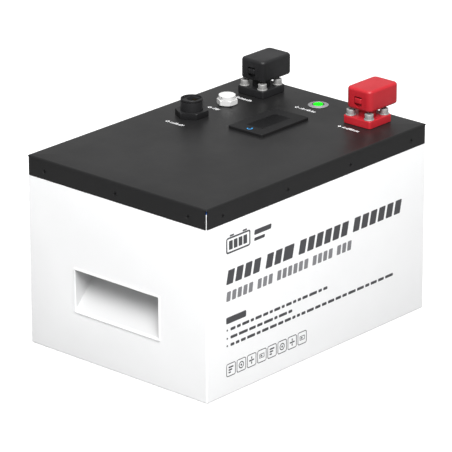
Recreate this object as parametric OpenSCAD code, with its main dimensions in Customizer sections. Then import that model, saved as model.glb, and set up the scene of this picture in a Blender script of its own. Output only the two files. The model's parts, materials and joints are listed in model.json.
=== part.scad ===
// Deep cycle battery: a sheet-steel box with a screwed lid, four prismatic cells inside,
// and a lid that carries two quick plugs, a data port, a vent valve, a display and a switch.
// Millimetres. X runs along the long side, -Y is the labelled front, +Z is up.
// The origin is the middle of the underside.

/* [Case] */
// Outside length of the case, along X
case_length = 320; // [290:1:400]
// Outside width of the case, along Y
case_width = 228.6; // [224:0.2:300]
// Height from the floor to the top of the lid
case_height = 193; // [185:1:250]
// Thickness of the case sheet
case_wall = 1.2; // [1:0.1:2]
// Outside radius of the case's vertical bends
case_bend = 1.6; // [0.5:0.1:4]
// Width of the lip that turns in under the lid gasket
rim_lip = 12; // [8:1:16]

/* [Lid] */
// Thickness of the lid sheet
lid_sheet = 1.2; // [1:0.1:2]
// Height of the lid's turned-down flange
lid_flange = 20; // [16:1:26]
// Outside radius of the lid's top bends
lid_bend = 1.6; // [0.5:0.1:4]
// Gap between the lid flange and the case rim inside it
lid_clearance = 0.2; // [0.1:0.1:0.6]
// Gap between the bottom of the flange and the case wall below it
seam_gap = 0.4; // [0.2:0.1:1]
// How far each flange end stops short of the corner
corner_relief = 0.4; // [0.2:0.1:2]
// Thickness of the foam gasket between rim and lid
gasket_thickness = 4; // [2:0.5:5]
// Width of the foam gasket
gasket_width = 10; // [6:1:14]

/* [Lid screws] */
// Screws along each long side
screws_long_side = 4; // [3:1:6]
// Screws along each short side
screws_short_side = 3; // [2:1:5]
// Distance of the outermost screws from the case corner
screw_end_inset = 22.7; // [15:0.1:40]
// Distance of the screw axes below the lid top
screw_drop = 11.7; // [9:0.1:13]
// Diameter of the flat screw head
screw_head = 6; // [5:0.1:7]
// Thread diameter of the lid screws
screw_thread = 3; // [2.5:0.5:4]
// Length of the lid screws
screw_length = 7; // [5:1:10]

/* [Carrying pockets] */
// Width of the pocket's opening, along Y
pocket_width = 107.7; // [90:0.1:130]
// Height of the opening's bottom edge above the floor
pocket_bottom = 48.8; // [40:0.1:60]
// Height of the opening
pocket_height = 42.4; // [35:0.1:55]
// Depth of the pocket at its ceiling
pocket_depth = 36; // [25:1:42]
// Sheet thickness of the pocket pan
pan_wall = 0.8; // [0.6:0.1:1.2]
// Width of the rim round the opening
pan_rim = 1.7; // [1.5:0.1:6]
// How far the rim stands proud of the case
pan_proud = 0.6; // [0.3:0.1:1.5]

/* [Cells] */
// Length of one cell, along X
cell_length = 160; // [140:1:200]
// Thickness of one cell, along Y
cell_thickness = 50; // [36:0.5:52]
// Height of one cell without its terminals
cell_height = 118; // [100:1:150]
// Thickness of the insulating sheet between two cells
cell_spacer = 1.5; // [0.5:0.1:3]
// Thickness of the aluminium plate at each end of the stack
end_plate = 3; // [2:0.5:5]
// Thickness of the foam pad under the cells
base_pad_thickness = 4; // [2:0.5:8]
// Distance of each cell terminal from the cell's end
cell_terminal_inset = 20; // [15:1:30]
// Diameter of the cell studs
cell_stud = 6; // [5:1:8]

/* [Terminals] */
// Distance of the terminal axes from the right end of the case
terminal_from_end = 34.5; // [34:0.5:60]
// Distance of the terminal axes from the front or back of the case
terminal_from_side = 45.8; // [36:0.1:60]
// Side of the square terminal base
base_side = 34; // [32:0.5:40]
// Height of the base above the lid
base_height = 8; // [6:0.5:10]
// Corner radius of the base
base_corner = 2.5; // [1:0.5:5]
// Pitch of the four base screws
base_screw_pitch = 23; // [21:0.5:26]
// Outside diameter of the post that the plug sits on
post_diameter = 17.6; // [16:0.1:18]
// Height of the post above the lid
post_height = 25; // [23:0.5:27]
// Diameter of the contact pin in the post
pin_diameter = 8; // [6:0.5:9]

/* [Plugs] */
// Length of the plug, along the cable
plug_length = 44.3; // [42:0.1:50]
// Width of the plug
plug_width = 31; // [29:0.5:36]
// Height of the plug
plug_height = 22; // [20:0.5:26]
// Distance from the post axis to the plug's button face
plug_front = 14.8; // [14:0.1:17]
// Gap between the base and the plug
plug_gap = 7.5; // [7:0.1:10]
// Edge radius of the plug
plug_round = 4; // [2:0.5:5]
// Diameter of the cable entry
cable_entry = 12; // [9:0.5:13]
// Height of the swivel ring inside the plug's mouth
ring_height = 2.5; // [2:0.1:2.6]
// Travel of the release button
release_travel = 2; // [1:0.1:2.2]
// Running clearance of turning and sliding fits, on the radius
running_fit = 0.05; // [0.02:0.01:0.1]

/* [Display] */
// Distance of the display's middle from the right end of the case
display_from_end = 102.2; // [98:0.1:140]
// Length of the display bezel
display_length = 70; // [60:0.5:80]
// Width of the display bezel
display_width = 44; // [38:0.5:50]
// Height of the display bezel above the lid
display_height = 2.7; // [2:0.1:4]
// Length of the smoked window
window_length = 41.5; // [30:0.5:46]
// Width of the smoked window
window_width = 20; // [14:0.5:26]
// Distance of the touch key from the display's middle
touch_key_offset = 27.6; // [26:0.1:29]

/* [Data port] */
// Distance of the port axis from the right end of the case
port_from_end = 132; // [125:0.5:160]
// Distance of the port axis from the back of the case
port_from_side = 40.8; // [35:0.1:55]
// Diameter of the port's barrel
port_diameter = 22.2; // [21:0.1:26]
// Height of the barrel above the lid
port_height = 18; // [15:0.5:24]
// Size across the flats of the port's lock nut
port_nut_flats = 29.1; // [27:0.1:34]
// Height of the lock nut
port_nut_height = 6.1; // [4:0.1:7]

/* [Vent valve] */
// Distance of the valve axis from the right end of the case
vent_from_end = 84.5; // [80:0.5:100]
// Distance of the valve axis from the back of the case
vent_from_side = 44.8; // [35:0.1:55]
// Size across the flats of the valve's hexagon
vent_flats = 18.2; // [17:0.1:22]
// Height of the hexagon's top above the lid
vent_hex_height = 5.8; // [4:0.1:8]
// Diameter of the valve cap
vent_cap_diameter = 17; // [14:0.1:17]
// Height of the valve cap
vent_cap_height = 4.6; // [3:0.1:7]

/* [Switch] */
// Distance of the switch axis from the right end of the case
switch_from_end = 27.5; // [25:0.5:40]
// Diameter of the switch bezel
switch_bezel = 20.7; // [20:0.1:24]
// Diameter of the black ring round the cap
switch_ring = 12.3; // [11:0.1:13]
// Diameter of the lit cap
switch_cap_diameter = 10; // [8:0.1:10]
// Height of the cap above the bezel
switch_cap_proud = 0.9; // [0.5:0.1:1.5]
// Travel of the cap
switch_travel = 1.5; // [1:0.1:2]

/* [Hidden] */
$fn = 48;
cut = 1;            // how far a cutting tool runs past what it cuts
positive_side = -1; // the red terminal is toward the front
negative_side = 1;  // the black terminal is toward the back

// Heights
lid_top = case_height;
lid_under = lid_top - lid_sheet;
flange_low = lid_top - lid_flange;
wall_top = flange_low - seam_gap;
rim_top = lid_under - gasket_thickness;
screw_z = lid_top - screw_drop;

// The case rim stands inside the lid's flange
rim_step = lid_sheet + lid_clearance;
rim_length = case_length - 2 * rim_step;
rim_width = case_width - 2 * rim_step;
rim_corner = 0.8;
screw_hole = screw_thread + 0.3;
rim_nut_size = 5.5;
rim_nut_height = 2.4;

// Places of the lid's fittings
terminal_x = case_length / 2 - terminal_from_end;
terminal_y = case_width / 2 - terminal_from_side;
display_x = case_length / 2 - display_from_end;
port_x = case_length / 2 - port_from_end;
port_y = case_width / 2 - port_from_side;
vent_x = case_length / 2 - vent_from_end;
vent_y = case_width / 2 - vent_from_side;
switch_x = case_length / 2 - switch_from_end;

// The pocket's ramp runs from the opening's bottom edge up to the back of the ceiling
pocket_top = pocket_bottom + pocket_height;
ramp_length = sqrt(pocket_height ^ 2 + pocket_depth ^ 2);
pan_foot = pan_wall * ramp_length / pocket_depth;
pan_back = pan_wall * (ramp_length + pocket_depth) / pocket_height;
pan_clearance = 0.1;

// The stack of cells, side by side along Y
cell_count = 4;
cell_pitch = cell_thickness + cell_spacer;
stack_width = cell_count * cell_thickness + (cell_count - 1) * cell_spacer;
cell_floor = case_wall + base_pad_thickness;
cell_top = cell_floor + cell_height;
cell_terminal_x = cell_length / 2 - cell_terminal_inset;
cell_pad_height = 2;
link_thickness = 2;
link_z = cell_top + cell_pad_height;
cell_nut_height = 5;
cell_nut_flats = 10;
strap_thickness = 0.6;
strap_height = 16;
plate_drop = 6;     // how far the end plates stop below the cell tops

// Battery management unit over the cells
bms_length = 76;
bms_width = 140;
bms_z = cell_top + 9;
bms_plate = 3;
bms_board_z = bms_z + bms_plate + 4;
bms_board_thickness = 1.6;
bms_hole_inset = 5;
bms_screw_thread = 3;

// Terminal fittings
seal_thickness = 0.6;
base_screw_thread = 5;
base_screw_head = 8.5;
base_screw_head_height = 5;
base_screw_length = 16;
washer_diameter = 10;
washer_thickness = 1;
base_nut_flats = 8;
base_nut_height = 4;
boss_radius = post_diameter / 2 + 0.5;
boss_depth = 6;
pin_flange_radius = pin_diameter / 2 + 2;
pin_tail = 18;
lug_thickness = 2;
lug_z = lid_top - 13;
lead_radius = 5;
post_bore = post_diameter / 2 - 2.2;
socket_radius = post_bore - 0.3;
post_floor = lid_top + base_height + 2;
post_groove = post_diameter / 2 - 1.1;

// The plug, about the post's axis
plug_z = lid_top + base_height + plug_gap;
plug_top = plug_z + plug_height;
plug_back = plug_length - plug_front;
cable_z = plug_z + plug_height / 2;
ring_inner = post_diameter / 2 + running_fit;
ring_outer = ring_inner + 2.45;
ring_z = plug_z + 0.3;
mouth_radius = ring_outer + running_fit;
plug_roof = plug_top - 4;
duct_radius = cable_entry / 2 + 1.6;
duct_start = 12;
seal_nut_length = 4;
cable_seal_length = 6;
cable_seal_gap = 0.3;   // the relaxed seal stands this far off the cable
barrel_radius = 5.5;
barrel_bore = 3.6;
barrel_start = 10.2;
arm_z = lid_top + post_height + 0.6;
arm_half_width = 4;
latch_z = ring_z + ring_height + 0.3;
latch_thickness = 1.8;
latch_half_width = 10.5;
latch_reach = 10.6;
latch_hole = post_diameter / 2 + 0.2;
button_width = 9;
button_height = 6;
button_proud = 0.8;
button_top = plug_z + 12.9;
button_clearance = 0.2;
shield_tip = plug_z + 1.5;
shield_shoulder = plug_z + 3.9;
shield_inset = 1.6;
shield_web = 0.8;
tongue_half_width = 2.4;

// Display
collar_length = display_length - 10;
collar_width = display_width - 10;
collar_wall = 1.6;
collar_depth = 6;
fit_gap = 0.2;
thread_gap = 0.02;
window_thickness = 1.2;
board_thickness = 1.6;
display_corner = 2;

// Data port
port_thread = port_diameter / 2 - 0.2;
port_flange_radius = port_diameter / 2 + 3;
port_flange_height = 2;
port_tail = 18;
port_seal = 1;
port_core_radius = port_diameter / 2 - 1.5;
port_recess = 1.4;
jack_shift = 2;
jack_length = 11.9;
jack_width = 8.6;
jack_depth = 12;
jack_key_length = 6.2;
jack_key_width = 2;
contact_count = 8;
contact_pitch = 1.02;

// Vent valve
vent_stem_radius = 6;
vent_stem_depth = 10;
vent_bore_radius = 3;
vent_nut_flats = 16;
vent_nut_height = 4;
membrane_radius = 5;
membrane_thickness = 0.3;
vent_slot_width = 1.9;
vent_slot_height = 1.2;

// Switch
switch_plate = 1;
switch_stem_radius = 8;
switch_depth = 24;
switch_well = 12;
switch_skirt = 5;
switch_seal = 0.3;
switch_nut_flats = 21;
switch_nut_height = 3;
bezel_top = lid_top + switch_seal + switch_plate;
spring_radius = 3.2;
spring_wire = 0.35;
spring_turns = 4;
spring_steps = 10;
wire_radius = 1.5;

// ---- helpers ----

// A rectangle with round corners, centred
module round_rect(x, y, r) {
  square([x - 2 * r, y], center = true);
  square([x, y - 2 * r], center = true);
  for (i = [-1, 1], j = [-1, 1]) translate([i * (x / 2 - r), j * (y / 2 - r)]) circle(r);
}

// An upright block with round vertical edges, centred on the Z axis, from z = low to z = high
module block(x, y, low, high, r) {
  translate([0, 0, low]) linear_extrude(high - low) round_rect(x, y, r);
}

// A square-edged block, centred on the Z axis
module plain_block(x, y, low, high) {
  translate([-x / 2, -y / 2, low]) cube([x, y, high - low]);
}

// A cylinder from z = low to z = high
module rod(r, low, high) {
  translate([0, 0, low]) cylinder(r = r, h = high - low);
}

// A tube from z = low to z = high
module pipe(outer, inner, low, high) {
  difference() {
    rod(outer, low, high);
    rod(inner, low - cut, high + cut);
  }
}

// A hexagonal prism with a round hole
module hex_ring(flats, hole, low, high) {
  difference() {
    translate([0, 0, low]) cylinder(r = flats / sqrt(3), h = high - low, $fn = 6);
    rod(hole, low - cut, high + cut);
  }
}

// Puts its children at each of four corners
module at_corners(x, y) {
  for (i = [-1, 1], j = [-1, 1]) translate([i * x / 2, j * y / 2, 0]) children();
}

// Puts its children at a terminal's axis
module at_terminal(side) {
  translate([terminal_x, side * terminal_y, 0]) children();
}

// Evenly spaced places from one end inset to the other
function spread(size, count) =
  [for (i = [0:count - 1]) (size / 2 - screw_end_inset) * (2 * i / (count - 1) - 1)];

// Puts its children at every lid screw, with +Z pointing out of the case
module at_lid_screws() {
  for (x = spread(case_length, screws_long_side), side = [-1, 1])
    translate([x, side * case_width / 2, screw_z]) rotate([side * -90, 0, 0]) children();
  for (y = spread(case_width, screws_short_side), side = [-1, 1])
    translate([side * case_length / 2, y, screw_z]) rotate([0, side * 90, 0]) children();
}

function unit(v) = v / norm(v);
function along(p, i) = unit(p[min(i + 1, len(p) - 1)] - p[max(i - 1, 0)]);
function ring_at(p, i, r, side, n) =
  let (t = along(p, i), a = unit(cross(side, t)), b = cross(t, a))
  [for (k = [0:n - 1]) p[i] + r * (cos(360 * k / n) * a + sin(360 * k / n) * b)];
function bezier(p, steps) =
  [for (i = [0:steps]) let (t = i / steps, s = 1 - t)
    s ^ 3 * p[0] + 3 * s ^ 2 * t * p[1] + 3 * s * t ^ 2 * p[2] + t ^ 3 * p[3]];

// A tube that follows a list of points; side is never along the route
module sweep(points, r, side, n = 8) {
  last = len(points) - 1;
  rings = [for (i = [0:last]) each ring_at(points, i, r, side, n)];
  walls = [for (i = [0:last - 1], k = [0:n - 1]) let (m = (k + 1) % n)
    [i * n + k, (i + 1) * n + k, (i + 1) * n + m, i * n + m]];
  start = [[for (k = [0:n - 1]) k]];
  end = [[for (k = [n - 1:-1:0]) last * n + k]];
  polyhedron(points = rings, faces = concat(start, walls, end), convexity = 6);
}

// ---- case ----

module case_shell() {
  color("white") difference() {
    union() {
      difference() {
        block(case_length, case_width, 0, wall_top, case_bend);
        plain_block(case_length - 2 * case_wall, case_width - 2 * case_wall, case_wall, wall_top + cut);
      }
      difference() {
        union() {
          block(case_length, case_width, wall_top - case_wall, wall_top, case_bend);
          block(rim_length, rim_width, wall_top - case_wall, rim_top, rim_corner);
        }
        plain_block(rim_length - 2 * case_wall, rim_width - 2 * case_wall,
          wall_top - 2 * case_wall, rim_top + cut);
      }
      difference() {
        block(rim_length, rim_width, rim_top - case_wall, rim_top, rim_corner);
        plain_block(rim_length - 2 * rim_lip, rim_width - 2 * rim_lip,
          rim_top - 2 * case_wall, rim_top + cut);
      }
    }
    for (side = [-1, 1]) translate([side * case_length / 2, 0, 0]) pocket_window();
    at_lid_screws() rod(screw_hole / 2, -rim_step - 2 * case_wall, cut);
  }
}

// The window that a pocket pan goes through
module pocket_window() {
  half = pocket_width / 2 + pan_wall + pan_clearance;
  low = pocket_bottom - pan_foot - pan_clearance;
  high = pocket_top + pan_wall + pan_clearance;
  translate([-2 * case_wall, -half, low]) cube([4 * case_wall, 2 * half, high - low]);
}

// One pocket pan, at the left end of the case
module handle_pan() {
  outline = [
    [0, pocket_bottom - pan_foot],
    [pocket_depth + pan_back, pocket_top + pan_wall],
    [0, pocket_top + pan_wall]
  ];
  hollow = [
    [-cut, pocket_bottom - cut * pocket_height / pocket_depth],
    [pocket_depth, pocket_top],
    [-cut, pocket_top]
  ];
  rim_width_out = pocket_width + 2 * pan_rim;
  translate([-case_length / 2, 0, 0]) difference() {
    union() {
      rotate([90, 0, 0]) linear_extrude(pocket_width + 2 * pan_wall, center = true) polygon(outline);
      translate([-pan_proud, -rim_width_out / 2, pocket_bottom - pan_rim])
        cube([pan_proud, rim_width_out, pocket_height + 2 * pan_rim]);
    }
    rotate([90, 0, 0]) linear_extrude(pocket_width, center = true) polygon(hollow);
    translate([-2 * cut, -pocket_width / 2, pocket_bottom]) cube([2 * cut, pocket_width, pocket_height]);
  }
}

module handle_pan_left() {
  color("whitesmoke") handle_pan();
}

module handle_pan_right() {
  color("whitesmoke") mirror([1, 0, 0]) handle_pan();
}

// ---- lid ----

// A block whose two long top edges are round, extruded along Y
module bent_block(x, y, low, high, r) {
  rotate([90, 0, 0]) linear_extrude(y, center = true) {
    translate([-x / 2, low]) square([x, high - low - r]);
    translate([-x / 2 + r, low]) square([x - 2 * r, high - low]);
    for (i = [-1, 1]) translate([i * (x / 2 - r), high - r]) circle(r);
  }
}

module lid() {
  corner = lid_sheet + corner_relief;
  color("dimgray") difference() {
    intersection() {
      bent_block(case_length, case_width, flange_low, lid_top, lid_bend);
      rotate([0, 0, 90]) bent_block(case_width, case_length, flange_low, lid_top, lid_bend);
    }
    plain_block(case_length - 2 * lid_sheet, case_width - 2 * lid_sheet, flange_low - cut, lid_under);
    at_corners(case_length, case_width) plain_block(2 * corner, 2 * corner, flange_low - cut, lid_under);
    at_lid_screws() {
      rod(screw_hole / 2, -2 * lid_sheet, cut);
      countersink();
    }
    for (side = [-1, 1]) at_terminal(side) {
      rod(boss_radius + fit_gap, lid_under - cut, lid_top + cut);
      at_corners(base_screw_pitch, base_screw_pitch)
        rod(base_screw_thread / 2 + fit_gap, lid_under - cut, lid_top + cut);
    }
    translate([display_x, 0, 0]) plain_block(
      collar_length + 2 * fit_gap, collar_width + 2 * fit_gap, lid_under - cut, lid_top + cut);
    translate([port_x, port_y, 0]) rod(port_diameter / 2 + fit_gap, lid_under - cut, lid_top + cut);
    translate([vent_x, vent_y, 0]) rod(vent_stem_radius + fit_gap, lid_under - cut, lid_top + cut);
    translate([switch_x, 0, 0]) rod(switch_stem_radius + fit_gap, lid_under - cut, lid_top + cut);
  }
}

// The cone that a lid screw's head fills, with its wide end at z = 0
module countersink() {
  depth = (screw_head - screw_thread) / 2 * 0.75;
  translate([0, 0, -depth]) cylinder(r1 = screw_thread / 2, r2 = screw_head / 2, h = depth);
  rod(screw_head / 2, 0, cut);
}

module lid_gasket() {
  color("royalblue") difference() {
    block(rim_length, rim_width, rim_top, lid_under, rim_corner);
    plain_block(rim_length - 2 * gasket_width, rim_width - 2 * gasket_width, rim_top - cut, lid_under + cut);
  }
}

module lid_screws() {
  socket = 0.7;
  color("dimgray") at_lid_screws() difference() {
    union() {
      rod(screw_thread / 2, -screw_length, 0);
      intersection() {
        countersink();
        rod(screw_head, -screw_length, 0);
      }
    }
    for (turn = [0, 90]) rotate([0, 0, turn]) plain_block(screw_head * 0.6, socket, -1, cut);
  }
}

// Nuts pressed into the inside of the rim
module rim_nuts() {
  back = -rim_step - case_wall;
  color("silver") at_lid_screws() pipe(rim_nut_size / 2, screw_thread / 2, back - rim_nut_height, back);
}

// ---- cells ----

module base_pad() {
  color("gray") block(cell_length, stack_width, case_wall, cell_floor, 2);
}

function cell_y(i) = (i - (cell_count + 1) / 2) * cell_pitch;

// Cell number i, counted from the front, with its two studs and its burst vent
module cell(i) {
  translate([0, cell_y(i), 0]) difference() {
    union() {
      block(cell_length, cell_thickness, cell_floor, cell_top, 3);
      for (side = [-1, 1]) translate([side * cell_terminal_x, 0, 0]) {
        rod(9, cell_top, cell_top + cell_pad_height);
        rod(cell_stud / 2, cell_top, link_z + link_thickness + cell_nut_height + 2);
      }
    }
    translate([0, 0, cell_top - 0.6]) linear_extrude(cut) round_rect(24, 12, 5.5);
  }
}

module cell_1() {
  color("steelblue") cell(1);
}

module cell_2() {
  color("steelblue") cell(2);
}

module cell_3() {
  color("steelblue") cell(3);
}

module cell_4() {
  color("steelblue") cell(4);
}

module cell_spacers() {
  color("ivory") for (i = [1:cell_count - 1])
    translate([0, cell_y(i) + cell_pitch / 2, 0])
      plain_block(cell_length, cell_spacer, cell_floor, cell_top);
}

module end_plates() {
  color("lightgray") for (side = [-1, 1]) translate([0, side * (stack_width + end_plate) / 2, 0])
    plain_block(cell_length, end_plate, cell_floor, cell_top - plate_drop);
}

// Two steel bands that hold the stack together
module cell_straps() {
  y = stack_width + 2 * end_plate;
  levels = [cell_floor + 0.2 * cell_height, cell_floor + 0.75 * cell_height];
  color("silver") for (z = levels) difference() {
    plain_block(cell_length + 2 * strap_thickness, y + 2 * strap_thickness, z, z + strap_height);
    plain_block(cell_length, y, z - cut, z + strap_height + cut);
  }
}

// Angles welded to the floor at both ends of the stack
module pack_brackets() {
  sheet = 1.5;
  foot = 14;
  height = 20;
  x = cell_length / 2 + strap_thickness + 0.2;
  color("silver") for (side = [-1, 1], y = [-1, 1]) translate([side * x, y * stack_width / 4, case_wall])
    scale([side, 1, 1]) {
      translate([0, -20, 0]) cube([sheet, 40, height]);
      translate([0, -20, 0]) cube([foot, 40, sheet]);
    }
}

module cell_nuts() {
  z = link_z + link_thickness;
  color("silver") for (i = [1:cell_count], side = [-1, 1])
    translate([side * cell_terminal_x, cell_y(i), 0])
      hex_ring(cell_nut_flats, cell_stud / 2 + thread_gap, z, z + cell_nut_height);
}

// Copper links that join the four cells in series
module busbars() {
  hole = cell_stud / 2 + 0.1;
  color("peru") for (i = [1:cell_count - 1]) {
    x = (i % 2 == 1 ? -1 : 1) * cell_terminal_x;
    translate([x, cell_y(i) + cell_pitch / 2, 0]) difference() {
      block(18, cell_pitch + 18, link_z, link_z + link_thickness, 4);
      for (side = [-1, 1]) translate([0, side * cell_pitch / 2, 0])
        rod(hole, link_z - cut, link_z + link_thickness + cut);
    }
  }
}

// ---- battery management unit ----

module bms_heatsink() {
  color("silver") difference() {
    union() {
      plain_block(bms_length, bms_width, bms_z, bms_z + bms_plate);
      at_corners(bms_length - 2 * bms_hole_inset, bms_width - 2 * bms_hole_inset) {
        rod(4, cell_top, bms_z);
        rod(3, bms_z + bms_plate, bms_board_z);
      }
    }
    at_corners(bms_length - 2 * bms_hole_inset, bms_width - 2 * bms_hole_inset)
      rod(bms_screw_thread / 2, bms_z + bms_plate / 2, bms_board_z + cut);
  }
}

module bms_board() {
  top = bms_board_z + bms_board_thickness;
  color("darkgreen") difference() {
    union() {
      plain_block(bms_length, bms_width, bms_board_z, top);
      for (k = [-4:4]) translate([-14, k * 12, 0]) plain_block(9, 9, top, top + 4);
      for (k = [-4:4]) translate([4, k * 12, 0]) plain_block(9, 9, top, top + 4);
      translate([24, -40, 0]) plain_block(14, 20, top, top + 9);
      translate([24, 0, 0]) rod(5, top, top + 11);
      translate([24, 36, 0]) plain_block(12, 22, top, top + 7);
      translate([-30, 0, 0]) plain_block(6, 60, top, top + 6);
    }
    at_corners(bms_length - 2 * bms_hole_inset, bms_width - 2 * bms_hole_inset)
      rod(bms_screw_thread / 2 + 0.1, bms_board_z - cut, top + cut);
  }
}

module bms_screws() {
  top = bms_board_z + bms_board_thickness;
  color("silver") at_corners(bms_length - 2 * bms_hole_inset, bms_width - 2 * bms_hole_inset) {
    rod(bms_screw_thread / 2, bms_board_z - 3, top);
    rod(bms_screw_thread * 0.9, top, top + 2);
  }
}

// ---- leads ----

// A ring lug about the Z axis, with its tail toward +X
module lug(hole, low) {
  tail = 14;
  difference() {
    union() {
      rod(hole + 4, low, low + lug_thickness);
      translate([0, -lead_radius, low]) cube([tail, 2 * lead_radius, lug_thickness]);
    }
    rod(hole, low - cut, low + lug_thickness + cut);
  }
}

// A main lead from an outer cell stud up to the tail of a terminal pin
module main_lead(side) {
  from = [cell_terminal_x, side * cell_y(cell_count), link_z];
  to = [terminal_x, side * terminal_y, lug_z];
  start = from + [13, 0, lead_radius + fit_gap - cell_pad_height];
  end = to + [-13, 0, lug_thickness / 2];
  bend = 34;
  route = bezier([start, start + [bend, 0, 0], end - [bend, 0, 0], end], 18);
  translate([from[0], from[1], 0]) lug(cell_stud / 2 + 0.1, link_z);
  translate([to[0], to[1], 0]) rotate([0, 0, 180]) lug(pin_diameter / 2 + 0.1, lug_z);
  sweep(route, lead_radius, [0, 1, 0], 12);
}

module positive_lead() {
  color("firebrick") main_lead(positive_side);
}

module negative_lead() {
  color("black") main_lead(negative_side);
}

// Thin sleeved wires from the management board to the display, the port and the switch
module signal_harness() {
  board = bms_board_z + bms_board_thickness;
  display_end = [display_x, 0, lid_top - collar_depth - wire_radius];
  port_end = [port_x, port_y, lid_top - port_tail];
  switch_end = [switch_x, 0, lid_top - switch_depth];
  color("gray") {
    wire([37, -6, board], display_end, [0, 1, 0]);
    wire([37, 34, board], port_end, [1, 0, 0]);
    wire([37, -20, board], switch_end, [0, 1, 0]);
  }
}

// A wire that leaves both its ends upright
module wire(from, to, side) {
  stub = [0, 0, 1];
  bend = [0, 0, 20];
  low = from + stub;
  high = to - stub;
  sweep(concat([from], bezier([low, low + bend, high - bend, high], 12), [to]), wire_radius, side);
}

// ---- terminals ----

module receptacle() {
  seat = lid_top + seal_thickness;
  base_top = lid_top + base_height;
  top = lid_top + post_height;
  difference() {
    union() {
      block(base_side, base_side, seat, base_top, base_corner);
      rod(post_diameter / 2, seat, top);
      rod(boss_radius, lid_under - boss_depth, seat);
    }
    rod(post_bore, post_floor, top + cut);
    rod(pin_diameter / 2 + thread_gap, lid_under - boss_depth - cut, top + cut);
    pipe(post_diameter, post_groove, latch_z - 0.3, latch_z + latch_thickness + 0.3);
    at_corners(base_screw_pitch, base_screw_pitch)
      rod(base_screw_thread / 2 + fit_gap, seat - cut, base_top + cut);
  }
}

module positive_receptacle() {
  color("firebrick") at_terminal(positive_side) receptacle();
}

module negative_receptacle() {
  color("#1c1c1e") at_terminal(negative_side) receptacle();
}

module contact_pin() {
  shoulder = lid_under - boss_depth;
  rod(pin_diameter / 2, lid_top - pin_tail, lid_top + post_height - 1);
  rod(pin_flange_radius, shoulder - 2, shoulder);
}

module positive_pin() {
  color("silver") at_terminal(positive_side) contact_pin();
}

module negative_pin() {
  color("silver") at_terminal(negative_side) contact_pin();
}

module at_base_screws() {
  for (side = [positive_side, negative_side])
    at_terminal(side) at_corners(base_screw_pitch, base_screw_pitch) children();
}

module receptacle_screws() {
  under_head = lid_top + base_height + washer_thickness;
  socket_flats = 4;
  color("silver") at_base_screws() difference() {
    union() {
      rod(base_screw_head / 2, under_head, under_head + base_screw_head_height);
      rod(base_screw_thread / 2, under_head - base_screw_length, under_head);
    }
    translate([0, 0, under_head + base_screw_head_height / 2])
      cylinder(r = socket_flats / sqrt(3), h = base_screw_head_height, $fn = 6);
  }
}

module receptacle_washers() {
  low = lid_top + base_height;
  color("gainsboro") at_base_screws()
    pipe(washer_diameter / 2, base_screw_thread / 2 + 0.1, low, low + washer_thickness);
}

// The flat seals under the terminals, the port, the valve and the switch
module lid_fitting_seals() {
  color("#202022") {
    for (side = [positive_side, negative_side]) at_terminal(side) difference() {
      block(base_side - 1, base_side - 1, lid_top, lid_top + seal_thickness, base_corner);
      rod(boss_radius + fit_gap, lid_top - cut, lid_top + cut);
      at_corners(base_screw_pitch, base_screw_pitch)
        rod(base_screw_thread / 2 + fit_gap, lid_top - cut, lid_top + cut);
    }
    translate([port_x, port_y, 0])
      pipe(port_flange_radius, port_diameter / 2 + fit_gap, lid_under - port_seal, lid_under);
    translate([vent_x, vent_y, 0])
      pipe(vent_flats / 2 - 0.4, vent_stem_radius + fit_gap, lid_top, lid_top + seal_thickness);
    translate([switch_x, 0, 0])
      pipe(switch_bezel / 2 - 0.4, switch_stem_radius + fit_gap, lid_top, lid_top + switch_seal);
  }
}

// The nuts under the lid: eight for the terminals, one for the valve and one for the switch
module lid_fitting_nuts() {
  color("silver") {
    at_base_screws()
      hex_ring(base_nut_flats, base_screw_thread / 2, lid_under - base_nut_height, lid_under);
    translate([vent_x, vent_y, 0])
      hex_ring(vent_nut_flats, vent_stem_radius, lid_under - vent_nut_height, lid_under);
    translate([switch_x, 0, 0])
      hex_ring(switch_nut_flats, switch_stem_radius, lid_under - switch_nut_height, lid_under);
  }
}

// ---- plugs ----

// The ring in the plug's mouth: it slides on the post, and the plug turns on it
module swivel_ring() {
  pipe(ring_outer, ring_inner, ring_z, ring_z + ring_height);
}

module positive_swivel_ring() {
  color("maroon") at_terminal(positive_side) swivel_ring();
}

module negative_swivel_ring() {
  color("black") at_terminal(negative_side) swivel_ring();
}

// The plug's outer block with round edges
module plug_block() {
  r = plug_round;
  mid = (plug_back - plug_front) / 2;
  translate([mid, 0, 0]) hull() at_corners(plug_length - 2 * r, plug_width - 2 * r) {
    translate([0, 0, plug_top - r]) sphere(r, $fn = 32);
    translate([0, 0, plug_z]) cylinder(r = r, h = 1, $fn = 32);
  }
}

// The five-sided outline of the button's window, as a prism from x = low to x = high
module shield(low, high, margin, floor_z) {
  half = button_width / 2 + margin;
  tip = shield_tip - margin;
  top = button_top + margin;
  intersection() {
    translate([low, 0, 0]) rotate([90, 0, 90]) linear_extrude(high - low)
      polygon([[0, tip], [half, shield_shoulder], [half, top], [-half, top], [-half, shield_shoulder]]);
    translate([low, -half, floor_z]) cube([high - low, 2 * half, top - floor_z]);
  }
}

module plug_housing() {
  slot_low = latch_z - button_clearance;
  slot_height = latch_thickness + 2 * button_clearance;
  slot_half = latch_half_width + button_clearance;
  slot_back = latch_reach + release_travel + button_clearance;
  difference() {
    plug_block();
    rod(mouth_radius, plug_z - cut, plug_roof);
    translate([duct_start - 6, 0, cable_z]) rotate([0, 90, 0]) cylinder(r = duct_radius, h = plug_back);
    shield(-plug_front - 2 * cut, -plug_front + shield_inset, button_clearance, plug_z);
    shield(-plug_front, -mouth_radius + 2, button_clearance, slot_low);
    translate([-plug_front + shield_inset, -slot_half, slot_low])
      cube([plug_front - shield_inset + slot_back, 2 * slot_half, slot_height]);
  }
}

module positive_plug_housing() {
  color("crimson") at_terminal(positive_side) plug_housing();
}

module negative_plug_housing() {
  color("#1c1c1e") at_terminal(negative_side) plug_housing();
}

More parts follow.
